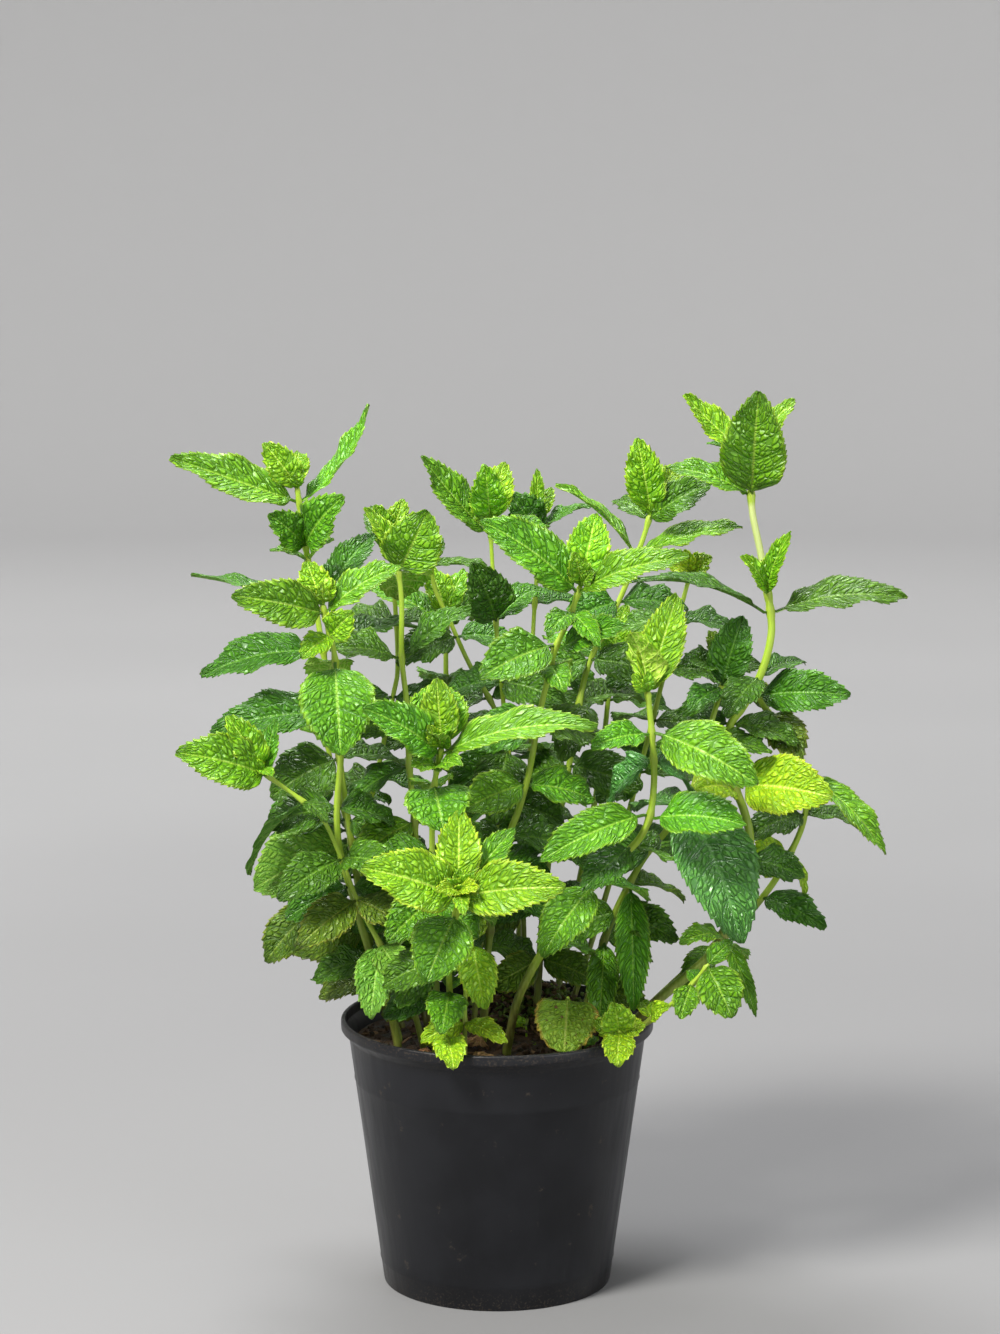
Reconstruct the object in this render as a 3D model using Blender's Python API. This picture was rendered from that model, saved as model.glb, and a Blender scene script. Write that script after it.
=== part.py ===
"""Potted mint plant: a thin plastic pot, its soil, and leafy shoots that rise from the soil."""
import math

import bmesh
import bpy
from mathutils import Vector
from mathutils.bvhtree import BVHTree

# Driving dimensions, in metres unless the name says otherwise.
millimetre = 0.001
pot_height = 0.112
pot_top_radius = 0.065
pot_base_radius = 0.0472
pot_wall = 0.0012
pot_facets = 34
drain_hole_radius = 0.0035
drain_hole_count = 6
soil_level = 0.102
soil_gap = 0.0004
stem_sides = 8
node_gap = 0.00035
leaf_half_thickness = 0.00042
leaf_fold = math.radians(14)
petiole_share = 0.07
blade_fullness = 1.16
# Every length in the plan is in millimetres.
# A shoot has a stem, given as points from the soil up, and pairs of leaves.
# A pair is: height on the stem, tone, one leaf, the other leaf.
# A leaf is: tip x, y, z, lean of its face towards the front in degrees, width, arch.
shoots = [
    {"name": "10", "thick": (1.5, 1.0), "split": 165, "own": [],
     "stem": [(-17, -33, 104), (-19, -44, 130), (-19, -56, 155), (-16, -66, 172), (-15, -73, 182)],
     "pairs": [
         (181, "young", (-15, -61, 211, 75, 16), (-13, -90, 175, 30, 6)),
         (178, "young", (-53, -88, 194, 60, 22), (27, -88, 186, 60, 20)),
         (182, "lime", (-24, -85, 184, 60, 7), (-7, -85, 185, 60, 7)),
         (177, "fresh", (7, -62, 204, 60, 12), (-28, -70, 196, 50, 6)),
         (170, "fresh", (-28, -80, 146, 60, 22), (-2, -40, 160, 20, 13))],
     "inner": [
         (150, "dark", (-46, -50, 137, 50, 16), None),
         (134, "fresh", (-22, -68, 122, 60, 15), (-20, -16, 126, 20, 13))]},
    {"name": "14", "thick": (1.8, 1.1), "split": 250, "own": [239, 205],
     "stem": [(4, -24, 104), (10, -28, 130), (28, -34, 163), (39, -37, 176), (49, -39, 187),
              (56, -40, 194), (60, -41, 201), (62, -41, 208), (63, -41, 221), (62, -42, 238),
              (60, -43, 257)],
     "pairs": [
         (256, "young", (53, -52, 281, 0, 16), (72, -34, 294, 70, 16)),
         (239, "fresh", (103, -64, 222, 55, 22), (37, -58, 236, 45, 12)),
         (205, "fresh", (17, -58, 190, 50, 17), (99, -60, 205, 45, 19)),
         (228, "teal", (46, -22, 207, 40, 16), (79, -18, 208, 40, 18)),
         (176, "fresh", (18, -54, 150, 45, 18), (62, -14, 164, 20, 15))],
     "inner": [
         (150, "dark", None, (40, -12, 141, 30, 15)),
         (192, "dark", (34, -58, 178, 50, 15), (76, -24, 181, 30, 16))]},
    {"name": "09", "thick": (1.5, 1.0), "split": 212, "own": [],
     "stem": [(-24, -38, 104), (-25, -36, 143), (-26, -38, 180), (-26, -42, 205), (-25, -45, 219),
              (-22, -48, 235)],
     "pairs": [
         (236, "young", (-24, -46, 262, 75, 14), (-18, -54, 243, 30, 5)),
         (231, "fresh", (-53, -58, 253, 50, 18), (40, -62, 245, 30, 18)),
         (234, "fresh", (-25, -34, 258, 75, 22), (-24, -62, 242, 20, 6)),
         (226, "fresh", (-34, -62, 229, 50, 10), (-14, -62, 230, 50, 10)),
         (218, "fresh", (-21, -67, 203, 60, 24), (-28, -18, 210, 20, 16)),
         (150, "dark", (-40, -50, 128, 60, 15), (-2, -16, 140, 20, 15))],
     "inner": [
         (190, "dark", (-52, -30, 179, 40, 18), (0, -30, 184, 40, 18)),
         (170, "fresh", (-44, -58, 157, 60, 17), (-8, -58, 156, 50, 16)),
         (130, "dark", (-46, -30, 121, 40, 14), None)]},
    {"name": "02", "thick": (1.7, 1.0), "split": 272, "own": [266],
     "stem": [(-41, -16, 104), (-45, -17, 123), (-53, -19, 146), (-59, -21, 168), (-64, -23, 187),
              (-65, -25, 205), (-63, -27, 232), (-65, -30, 266), (-67, -33, 277), (-70, -35, 291)],
     "pairs": [
         (266, "fresh", (-62, -54, 232, 45, 27), (-70, -2, 250, 0, 18)),
         (290, "young", (-76, -32, 307, 75, 12), (-71, -28, 302, 60, 9)),
         (286, "fresh", (-105, -42, 296, 55, 17), (-38, -30, 305, 35, 14)),
         (277, "young", (-78, -46, 270, 60, 10), (-57, -42, 288, 60, 12))],
     "inner": [
         (205, "dark", (-94, -34, 196, 50, 17), (-42, -10, 196, 30, 17)),
         (172, "dark", (-86, -30, 160, 50, 17), (-38, -14, 160, 30, 16)),
         (140, "dark", (-76, -10, 130, 40, 15), (-34, -34, 128, 50, 14))]},
    {"name": "03", "thick": (1.3, 0.8), "split": 214, "own": [],
     "stem": [(-30, -24, 104), (-35, -26, 123), (-46, -28, 146), (-57, -29, 168), (-63, -30, 185),
              (-70, -31, 201), (-78, -32, 209), (-95, -34, 222)],
     "pairs": [
         (220, "fresh", (-128, -46, 233, 60, 20), (-89, -28, 242, 0, 9)),
         (222, "young", (-108, -40, 246, 55, 13), (-90, -46, 222, 30, 6)),
         (209, "dark", (-101, -24, 177, 0, 12), (-68, -48, 204, 20, 7)),
         (149, "pale", (-51, -52, 124, 60, 15), (-37, -48, 137, 60, 13)),
         (128, "lime", (-43, -40, 120, 50, 9), (-24, -18, 122, 30, 8))],
     "inner": [
         (185, "dark", (-88, -48, 172, 50, 17), (-42, -20, 176, 40, 16)),
         (168, "olive", (-80, -44, 152, 60, 16), (-38, -36, 158, 40, 15))]},
    {"name": "08", "thick": (1.7, 1.0), "split": 278, "own": [270],
     "stem": [(-6, -8, 104), (-3, -8, 150), (4, -9, 187), (9, -10, 202), (13, -11, 217), (16, -12, 234),
              (18, -13, 245), (21, -14, 258), (24, -15, 270), (29, -16, 281), (34, -17, 296)],
     "pairs": [
         (296, "young", (40, -12, 324, 75, 16), (31, -24, 310, 60, 9)),
         (292, "fresh", (-7, -28, 323, 50, 20), (77, -24, 309, 30, 15)),
         (270, "fresh", (-7, -34, 260, 55, 20), (52, -26, 281, 50, 14)),
         (284, "fresh", (20, -34, 277, 45, 10), (41, -34, 273, 45, 9)),
         (262, "fresh", (27, -34, 254, 60, 11), (24, 8, 254, 0, 14)),
         (150, "dark", (-26, -8, 132, 30, 15), None)],
     "inner": [
         (238, "dark", (-10, -10, 228, 50, 19), (42, -6, 230, 40, 18)),
         (212, "fresh", (-14, -20, 203, 50, 18), (40, -4, 204, 40, 17)),
         (190, "dark", (-22, -2, 180, 40, 18), (30, 4, 182, 40, 18)),
         (170, "dark", (-18, -28, 158, 60, 17), (24, -22, 160, 50, 16))]},
    {"name": "12", "thick": (2.0, 1.3), "split": 322, "own": [282, 210],
     "stem": [(50, -10, 104), (65, -10, 120), (86, -9, 138), (93, -8, 148), (100, -8, 166),
              (104, -7, 186),
              (102, -6, 199), (97, -5, 212), (94, -4, 225), (96, -3, 236), (101, -2, 243),
              (108, -1, 256),
              (112, 0, 270), (112, 1, 282), (108, 2, 305), (104, 3, 325), (104, 6, 345)],
     "pairs": [
         (329, "fresh", (105, -16, 374, 0, 24, 0.06), (69, 10, 340, 30, 14)),
         (345, "young", (76, 4, 371, 40, 13, -0.04), (122, 12, 368, 30, 10)),
         (341, "fresh", (86, 14, 350, 0, 9), (118, 20, 350, 20, 8)),
         (282, "dark", (53, -14, 296, 10, 14), (167, -10, 289, 35, 16)),
         (210, "lime", (136, -28, 210, 60, 24), (80, -28, 213, 50, 17)),
         (289, "young", (119, -8, 317, 40, 9), (99, -9, 307, 50, 9)),
         (148, "fresh", (106, -26, 118, 30, 7), (74, -30, 150, 40, 10))],
     "inner": [
         (236, "dark", (70, 8, 226, 30, 16), (124, 12, 232, 30, 14)),
         (180, "dark", (78, 6, 170, 30, 16), (126, -16, 174, 40, 15)),
         (255, "dark", (84, 12, 250, 30, 14), (128, 10, 258, 20, 11))]},
    {"name": "04", "thick": (1.5, 1.0), "split": 290, "own": [264],
     "stem": [(-27, -10, 104), (-29, -10, 132), (-32, -9, 163), (-34, -8, 197), (-36, -7, 219),
              (-37, -6, 245),
              (-39, -5, 264), (-39, -5, 288), (-41, -5, 305)],
     "pairs": [
         (299, "fresh", (-28, 0, 325, 85, 22), (-40, 24, 283, 0, 24)),
         (305, "young", (-54, -8, 326, 40, 7), (-46, 2, 320, 50, 7)),
         (264, "dark", (-68, -14, 268, 25, 20), (-10, -8, 284, 25, 16)),
         (219, "dark", (-63, 2, 199, 30, 14), (-18, 10, 212, 20, 14)),
         (196, "fresh", (-59, -22, 181, 40, 17), (-12, 8, 182, 20, 15)),
         (166, "dark", (-60, -4, 150, 50, 18), (-8, 0, 156, 30, 14))],
     "inner": [
         (242, "dark", (-58, -24, 234, 50, 17), (-12, -16, 238, 50, 17)),
         (182, "dark", (-62, 8, 172, 30, 17), (-6, -14, 170, 50, 16)),
         (146, "dark", (-54, -20, 134, 50, 16), (-4, -16, 136, 50, 15)),
         (124, "olive", (-48, -2, 114, 50, 13), None)]},
    {"name": "13", "thick": (1.6, 1.0), "split": 245, "own": [203],
     "stem": [(34, -6, 104), (44, -6, 145), (58, -9, 177), (70, -12, 194), (79, -13, 208), (88, -6, 238),
              (93, 4, 252), (93, 6, 260)],
     "pairs": [
         (203, "teal", (98, -48, 154, 45, 29, 0.2), (58, 14, 196, 20, 18)),
         (259, "lime", (99, 6, 278, 10, 5), (88, 14, 272, 30, 8)),
         (257, "dark", (76, 0, 262, 30, 13), (109, 14, 258, 35, 12)),
         (250, "dark", (101, 28, 280, 50, 16), (78, -14, 243, 30, 12)),
         (170, "fresh", (56, -24, 120, 60, 13), (78, 12, 158, 20, 14)),
         (146, "fresh", (42, -20, 112, 60, 12), (64, 18, 132, 50, 14))],
     "inner": [
         (228, "dark", (62, 2, 218, 40, 17), (112, -6, 226, 40, 14)),
         (186, "dark", (38, -10, 176, 50, 18), (88, 8, 178, 30, 17)),
         (158, "dark", (28, -6, 148, 50, 16), (74, -18, 148, 50, 15)),
         (126, "olive", None, (62, -18, 120, 50, 13))]},
    {"name": "01", "thick": (1.6, 1.0), "split": 300, "own": [284, 267],
     "stem": [(-41, -4, 104), (-54, -4, 150), (-62, -4, 200), (-67, -5, 240), (-72, -5, 272),
              (-76, -6, 298),
              (-79, -8, 318), (-81, -9, 335)],
     "pairs": [
         (328, "fresh", (-131, -24, 348, 45, 18, 0.0), (-52, 4, 367, 0, 15, -0.1)),
         (335, "young", (-94, -14, 353, 70, 12), (-81, 6, 347, 60, 9)),
         (310, "fresh", (-92, -22, 325, 50, 14), (-61, -18, 333, 45, 17)),
         (304, "fresh", (-92, -14, 309, 20, 7), (-66, -10, 313, 10, 7)),
         (284, "dark", (-126, 8, 296, 0, 15, 0.04), (-50, 14, 313, 30, 14)),
         (267, "dark", (-121, -6, 256, 35, 19), (-22, 8, 279, 10, 18)),
         (240, "dark", (-117, -14, 234, 40, 20), (-46, 10, 246, 20, 16)),
         (222, "dark", (-93, -8, 206, 50, 22), (-38, 12, 215, 20, 16)),
         (186, "pale", (-100, -12, 169, 60, 29), (-34, 14, 172, 30, 18))],
     "inner": [
         (196, "dark", (-94, 10, 186, 30, 18), (-40, -6, 187, 40, 17)),
         (172, "dark", (-90, 8, 160, 30, 17), (-36, 2, 162, 40, 16)),
         (152, "olive", (-84, -12, 140, 50, 17), (-30, 2, 144, 40, 15)),
         (130, "olive", (-74, 2, 120, 40, 14), (-34, -12, 122, 40, 13))]},
    {"name": "06", "thick": (1.2, 0.8), "split": 300, "own": [],
     "stem": [(-10, 4, 104), (-6, 8, 150), (-1, 12, 187), (3, 14, 197), (5, 16, 212), (4, 17, 227),
              (2, 19, 247), (0, 20, 268), (-2, 21, 300), (-3, 21, 317)],
     "pairs": [
         (311, "fresh", (-31, 14, 345, 40, 15, -0.04), (22, 34, 313, 20, 13)),
         (317, "young", (-5, 8, 342, 60, 14), (3, 26, 341, 60, 13)),
         (275, "dark", (-10, 4, 302, 60, 18), (18, 30, 288, 20, 16)),
         (222, "dark", (-1, 0, 193, 60, 21), (20, 44, 213, 20, 16))],
     "inner": [
         (250, "dark", (-24, 32, 240, 30, 18), (28, 6, 243, 50, 18)),
         (200, "dark", (-26, 24, 190, 40, 18), (28, 0, 192, 50, 18)),
         (172, "dark", (-28, 14, 160, 50, 17), (22, 28, 162, 30, 17)),
         (140, "dark", (-32, 6, 128, 50, 16), (18, 22, 130, 40, 15))]},
    {"name": "15", "thick": (1.6, 1.0), "split": 225, "own": [],
     "stem": [(52, 4, 104), (78, 8, 128), (100, 10, 148), (113, 11, 163), (122, 12, 178), (128, 12, 194),
              (128, 11, 212), (122, 10, 229), (112, 8, 239), (107, 7, 247)],
     "pairs": [
         (246, "dark", (145, -4, 248, 60, 17), (74, 2, 238, 20, 13)),
         (239, "olive", (124, -8, 220, 40, 16), (104, 30, 248, 20, 10)),
         (212, "fresh", (161, 2, 180, 25, 13), (112, 34, 205, 20, 14)),
         (178, "lime", (105, 0, 174, 60, 19), (128, 6, 162, 0, 6)),
         (140, "fresh", (76, -8, 124, 50, 11), (104, 30, 128, 20, 13))],
     "inner": [
         (195, "dark", (102, -4, 188, 40, 15), (152, 26, 186, 20, 13)),
         (160, "dark", (92, 28, 150, 20, 15), (136, -4, 150, 40, 14))]},
    {"name": "11", "thick": (1.6, 1.0), "split": 310, "own": [],
     "stem": [(16, 8, 104), (19, 12, 150), (23, 16, 187), (28, 19, 202), (34, 24, 239), (39, 27, 258),
              (46, 28, 272), (54, 29, 290), (58, 30, 301), (61, 31, 309), (64, 32, 319)],
     "pairs": [
         (319, "young", (58, 28, 351, 80, 15), (76, 44, 339, 60, 10)),
         (316, "dark", (89, 24, 332, 50, 15), (50, 52, 322, 30, 12)),
         (301, "fresh", (24, 24, 332, 10, 13, 0.08), (102, 24, 314, 25, 14, 0.07)),
         (240, "dark", (27, -8, 221, 60, 18), (62, 52, 236, 20, 18)),
         (180, "dark", (2, 24, 168, 30, 15), (46, 10, 172, 30, 15))],
     "inner": [
         (282, "dark", (28, 20, 274, 50, 17), (80, 32, 278, 30, 16)),
         (258, "dark", (16, 30, 250, 50, 17), (70, 12, 252, 50, 17)),
         (214, "dark", (8, 34, 204, 40, 18), (60, 10, 206, 50, 18)),
         (160, "dark", (-4, 20, 150, 50, 17), (46, 26, 150, 30, 16)),
         (134, "olive", (-4, 10, 124, 50, 14), (42, 8, 124, 50, 14))]},
    {"name": "05", "thick": (1.2, 0.9), "split": 292, "own": [],
     "stem": [(-30, 20, 104), (-42, 27, 150), (-53, 31, 190), (-51, 34, 206), (-44, 40, 240),
              (-42, 42, 253),
              (-43, 42, 280), (-45, 42, 306)],
     "pairs": [
         (306, "young", (-51, 38, 322, 60, 9), (-39, 48, 323, 60, 9)),
         (300, "dark", (-54, 56, 318, 30, 12), (-37, 30, 318, 30, 12)),
         (272, "dark", (-72, 60, 266, 20, 18), (-20, 62, 262, 20, 16)),
         (206, "dark", (-76, 46, 194, 20, 18), (-26, 44, 196, 20, 16))],
     "inner": [
         (240, "dark", (-72, 28, 232, 40, 18), (-18, 28, 234, 40, 17)),
         (176, "dark", (-76, 18, 166, 40, 17), (-24, 42, 168, 30, 16)),
         (142, "dark", (-66, 18, 130, 40, 15), (-16, 36, 132, 30, 14))]},
    {"name": "16", "thick": (1.2, 0.9), "split": 285, "own": [],
     "stem": [(12, 26, 104), (11, 30, 150), (9, 34, 190), (2, 36, 228), (-12, 38, 255), (-20, 38, 273),
              (-26, 38, 286), (-28, 38, 297)],
     "pairs": [
         (296, "dark", (0, 34, 293, 10, 10), (-30, 58, 306, 30, 12)),
         (240, "dark", (-26, 54, 226, 30, 18), (28, 50, 236, 20, 16)),
         (180, "dark", (-18, 46, 166, 30, 16), (34, 44, 170, 20, 16))],
     "inner": [
         (266, "dark", (-42, 26, 256, 40, 17), (8, 44, 262, 30, 16)),
         (214, "dark", (-20, 16, 204, 50, 18), (32, 52, 208, 20, 17)),
         (150, "olive", (-16, 14, 138, 50, 16), (36, 44, 140, 30, 15))]},
    {"name": "07", "thick": (1.2, 0.8), "split": 298, "own": [],
     "stem": [(6, 34, 104), (11, 42, 160), (14, 48, 210), (15, 53, 260), (17, 56, 295), (17, 58, 313)],
     "pairs": [
         (313, "young", (17, 58, 335, 20, 6), (23, 66, 326, 40, 8)),
         (307, "dark", (5, 50, 325, 60, 16), (40, 60, 319, 10, 11)),
         (278, "dark", (-12, 72, 268, 20, 18), (40, 76, 272, 20, 18)),
         (214, "dark", (-2, 84, 202, 20, 18), (40, 62, 204, 20, 16))],
     "inner": [
         (250, "dark", (-12, 42, 240, 40, 18), (42, 44, 244, 40, 17)),
         (186, "dark", (-12, 34, 174, 40, 17), (38, 66, 176, 20, 17))]},
    {"name": "17", "thick": (1.3, 0.9), "split": 280, "own": [],
     "stem": [(30, 30, 104), (48, 42, 160), (64, 50, 220), (76, 54, 268), (82, 56, 291)],
     "pairs": [
         (290, "lime", (70, 48, 297, 50, 12), (91, 52, 298, 50, 10)),
         (270, "dark", (50, 60, 264, 20, 16), (106, 64, 262, 20, 16)),
         (228, "dark", (54, 84, 220, 20, 17), (94, 40, 222, 30, 16)),
         (180, "dark", (30, 60, 168, 20, 16), (80, 46, 170, 20, 16))],
     "inner": [
         (250, "dark", (46, 40, 242, 40, 17), (100, 44, 246, 30, 16)),
         (206, "dark", (42, 34, 196, 50, 17), (94, 54, 200, 20, 16))]},
    {"name": "22", "thick": (1.6, 1.0), "split": 250, "own": [],
     "stem": [(-12, 40, 104), (-16, 52, 150), (-20, 64, 200), (-22, 74, 240), (-22, 79, 268)],
     "pairs": [
         (268, "young", (-30, 86, 290, 20, 12), (-14, 88, 288, 20, 11)),
         (264, "fresh", (-58, 84, 280, 20, 17), (12, 92, 278, 20, 17)),
         (240, "dark", (-28, 112, 232, -40, 19), (-20, 52, 246, 40, 14)),
         (206, "dark", (-60, 76, 196, 0, 20), (16, 82, 192, 0, 19)),
         (160, "dark", (-22, 92, 142, -50, 20), (-42, 44, 146, 10, 14))],
     "inner": [
         (224, "dark", (-48, 58, 214, 30, 17), (6, 62, 216, 20, 16))]},
    {"name": "23", "thick": (1.6, 1.0), "split": 236, "own": [],
     "stem": [(24, 40, 104), (34, 56, 150), (44, 72, 200), (50, 84, 250)],
     "pairs": [
         (250, "young", (56, 92, 272, 20, 12), (44, 94, 270, 20, 11)),
         (246, "fresh", (80, 98, 262, 10, 17), (20, 100, 256, 10, 17)),
         (216, "dark", (50, 114, 206, -40, 20), (66, 56, 210, 20, 14)),
         (176, "dark", (78, 74, 164, 0, 19), (6, 72, 160, 0, 18)),
         (138, "dark", (36, 84, 122, -50, 18), (60, 44, 132, 10, 15))],
     "inner": [
         (232, "dark", (20, 72, 224, 20, 16), (76, 80, 226, 20, 16))]},
    {"name": "24", "thick": (1.5, 1.0), "split": 206, "own": [],
     "stem": [(-36, 34, 104), (-54, 46, 150), (-68, 56, 196), (-74, 60, 222)],
     "pairs": [
         (222, "young", (-84, 62, 242, 20, 11), (-68, 70, 240, 20, 11)),
         (217, "fresh", (-108, 66, 230, 10, 17), (-66, 96, 222, -20, 16)),
         (180, "dark", (-98, 52, 168, 10, 18), (-54, 88, 170, -30, 18)),
         (142, "dark", (-74, 70, 128, -30, 18), (-76, 28, 136, 20, 15))],
     "inner": [
         (198, "dark", (-96, 40, 188, 30, 17), (-46, 60, 190, 20, 16))]},
    {"name": "18", "thick": (1.2, 0.8), "split": None, "own": [],
     "stem": [(-40, 16, 104), (-52, 17, 126), (-60, 17, 138), (-68, 16, 147), (-76, 15, 155),
              (-80, 12, 167)],
     "pairs": [
         (166, "fresh", (-90, 6, 160, 30, 11), (-70, 22, 174, 30, 9)),
         (155, "olive", (-97, 12, 132, 50, 17), (-60, 30, 160, 20, 12)),
         (146, "olive", (-66, 2, 122, 50, 12), (-78, 26, 135, 30, 9))]},
    {"name": "19", "thick": (1.0, 0.7), "split": None, "own": [],
     "stem": [(46, -20, 104), (62, -28, 117), (76, -33, 130), (86, -36, 143)],
     "pairs": [
         (142, "fresh", (95, -46, 123, 60, 17), (96, -30, 151, 40, 8)),
         (134, "fresh", (74, -44, 122, 50, 10), (84, -22, 136, 30, 8)),
         (118, "lime", (70, -38, 126, 50, 8), (60, -16, 122, 30, 8))]},
    {"name": "20", "thick": (0.9, 0.7), "split": None, "own": [],
     "stem": [(44, -28, 104), (48, -36, 113), (50, -43, 116), (49, -48, 118)],
     "pairs": [
         (117, "lime", (47, -52, 131, 70, 13), (48, -58, 106, 60, 12)),
         (116, "lime", (39, -54, 121, 50, 9), (60, -54, 120, 50, 9))]},
    {"name": "21", "thick": (1.0, 0.7), "split": None, "own": [],
     "stem": [(-13, -42, 104), (-13, -43, 125), (-12, -44, 143), (-10, -45, 155)],
     "pairs": [
         (154, "lime", (-5, -56, 129, 60, 14), (-8, -30, 160, 40, 9)),
         (120, "lime", (4, -60, 116, 40, 9), (-31, -47, 114, 50, 10))]},
    {"name": "26", "thick": (0.8, 0.6), "split": None, "own": [],
     "stem": [(-20, -53, 104), (-20, -56, 118)],
     "pairs": [(118, "lime", (-17, -73, 109, 50, 12), None)]},
    {"name": "27", "thick": (0.9, 0.7), "split": None, "own": [],
     "stem": [(27, -18, 104), (29, -27, 127)],
     "pairs": [(126, "spotted", (27, -57, 109, 60, 23, 0.12), None)]},
]


def pointAt(path, height):
    """Gives the point of a rising path at a height."""
    for low, high in zip(path, path[1:]):
        if height <= high[2]:
            share = (height - low[2]) / (high[2] - low[2])
            return Vector(low).lerp(Vector(high), share)
    return Vector(path[-1])


def leafHalfWidth(share, width):
    """Half of a blade's width at a share of its length: a short stalk, a round base, a slim tip."""
    along = (share - petiole_share) / (1 - petiole_share)
    if along <= 0:
        return 0.7
    if along >= 1:
        return 0.0
    full = math.sin(math.pi * along ** 0.76) ** 0.7
    return max(0.7 * (1 - along), width / 2 * blade_fullness * full)


def leafSections(base, leaf, shares):
    """Gives (share, centre, side, normal) of a leaf at some shares of its length."""
    tip = Vector(leaf[:3])
    arch = leaf[5] if len(leaf) > 5 else 0.1
    chord = tip - base
    length = chord.length
    forward = chord / length
    lean = math.radians(leaf[3])
    hint = Vector((0, -math.sin(lean), math.cos(lean)))
    normal = (hint - forward * hint.dot(forward)).normalized()
    side = normal.cross(forward)
    sections = []
    for share in shares:
        centre = base + chord * share + normal * (arch * length * 4 * share * (1 - share))
        slope = 4 * arch * (1 - 2 * share)
        local = (normal - forward * slope).normalized()
        sections.append((share, centre, side, local))
    return sections


def leafShell(base, leaf, half_thickness, widen=0.0, first=0.0):
    """A closed thin leaf, folded a little along its midrib. Gives its points and faces."""
    length = (Vector(leaf[:3]) - base).length
    shares = [0, 0.1, 0.24, 0.42, 0.62, 0.82, 1] if length > 42 else [0, 0.12, 0.4, 0.72, 1]
    shares = [max(share, first) for share in shares if share >= first or share == 0]
    points = []
    for share, centre, side, normal in leafSections(base, leaf, shares[:-1]):
        half = leafHalfWidth(share, leaf[4]) + widen
        blade = share > petiole_share
        rise = math.sin(leaf_fold) if blade else 0
        spread = math.cos(leaf_fold) if blade else 1
        thick = half_thickness if blade else max(half_thickness, 0.55)
        points.append(centre + side * half * spread + normal * half * rise)
        points.append(centre + normal * thick)
        points.append(centre - side * half * spread + normal * half * rise)
        points.append(centre - normal * thick)
    points.append(leafSections(base, leaf, [1])[0][1])
    faces = [(0, 1, 2, 3)]
    for ring in range(len(shares) - 2):
        low = ring * 4
        for corner in range(4):
            after = (corner + 1) % 4
            faces.append((low + corner, low + 4 + corner, low + 4 + after, low + after))
    low = (len(shares) - 2) * 4
    for corner in range(4):
        faces.append((low + corner, len(points) - 1, low + (corner + 1) % 4))
    return points, faces


def frameOf(direction):
    """Two directions across a stem."""
    across = direction.cross(Vector((0, 1, 0))).normalized()
    return across, direction.cross(across).normalized()


def tubeShell(path, radii, flat_start=False):
    """A closed tube along a path. Gives its points and faces."""
    points = []
    for place, point in enumerate(path):
        before = path[max(place - 1, 0)]
        after = path[min(place + 1, len(path) - 1)]
        across, away = frameOf((after - before).normalized())
        if flat_start and place == 0:
            across, away = frameOf(Vector((0, 0, 1)))
        for corner in range(stem_sides):
            angle = 2 * math.pi * corner / stem_sides
            outward = across * math.cos(angle) + away * math.sin(angle)
            points.append(point + outward * radii[place])
    faces = [tuple(range(stem_sides))[::-1]]
    for ring in range(len(path) - 1):
        low = ring * stem_sides
        for corner in range(stem_sides):
            after = (corner + 1) % stem_sides
            high = low + stem_sides
            faces.append((low + corner, low + after, high + after, high + corner))
    low = (len(path) - 1) * stem_sides
    faces.append(tuple(low + corner for corner in range(stem_sides)))
    return points, faces


def stemRadius(shoot, height):
    """Stems taper from the soil to the tip."""
    low = shoot["stem"][0][2]
    high = shoot["stem"][-1][2]
    share = min(max((height - low) / (high - low), 0), 1)
    return shoot["thick"][0] + (shoot["thick"][1] - shoot["thick"][0]) * share


def stemPart(shoot, low, high):
    """The points and radii of a stem between two heights."""
    inner = [Vector(point) for point in shoot["stem"] if low + 1.5 < point[2] < high - 1.5]
    path = [pointAt(shoot["stem"], low)] + inner + [pointAt(shoot["stem"], high)]
    return path, [stemRadius(shoot, point.z) for point in path]


def treeOf(shell):
    return BVHTree.FromPolygons(*shell)


def touches(tree, placed, group):
    """True if a leaf would cross something of another group."""
    return any(other != group and tree.overlap(solid) for other, solid in placed)


def groupOf(shoot, height):
    """The name of the piece that a pair of leaves belongs to."""
    if height in shoot["own"]:
        return f"leaf_pair_{shoot['name']}_{shoot['own'].index(height) + 1}"
    if shoot["split"] is None:
        return f"sprig_{shoot['name']}"
    return f"crown_{shoot['name']}" if height >= shoot["split"] else f"stem_{shoot['name']}"


# A leaf that would cross another is moved a little, in depth first.
nudges = [(0, 0, 0, 0)]
nudges += [(0, step, 0, 0) for step in (3, -3, 6, -6, 9, -9)]
nudges += [(0, 0, step, 0) for step in (3, -3)]
nudges += [(0, step, 0, turn) for turn in (15, -15, 30, -30) for step in (0, 5, -5, 10, -10)]
for turns, depths, step in (((0, 20, -20), (13, -13, 18, -18), 4), ((0, 25, -25), (24, -24, 30, -30), 9)):
    nudges += [
        (x, y, z, turn)
        for turn in turns
        for y in depths
        for x in (0, step, -step)
        for z in (0, step, -step)
    ]


def fitted(base, leaf, placed, group, start):
    """The leaf as planned, or moved or shortened until it crosses nothing."""
    for size in (1, 0.85, 0.7, 0.55, 0.4):
        for x, y, z, turn in nudges:
            tip = base + (Vector(leaf[:3]) + Vector((x, y, z)) - base) * size
            tried = (*tip, leaf[3] + turn, leaf[4] * size, *leaf[5:])
            tree = treeOf(leafShell(base, tried, 0.85, 0.6, start))
            if not touches(tree, placed, group):
                return tried, tree
    return None, None


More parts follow.
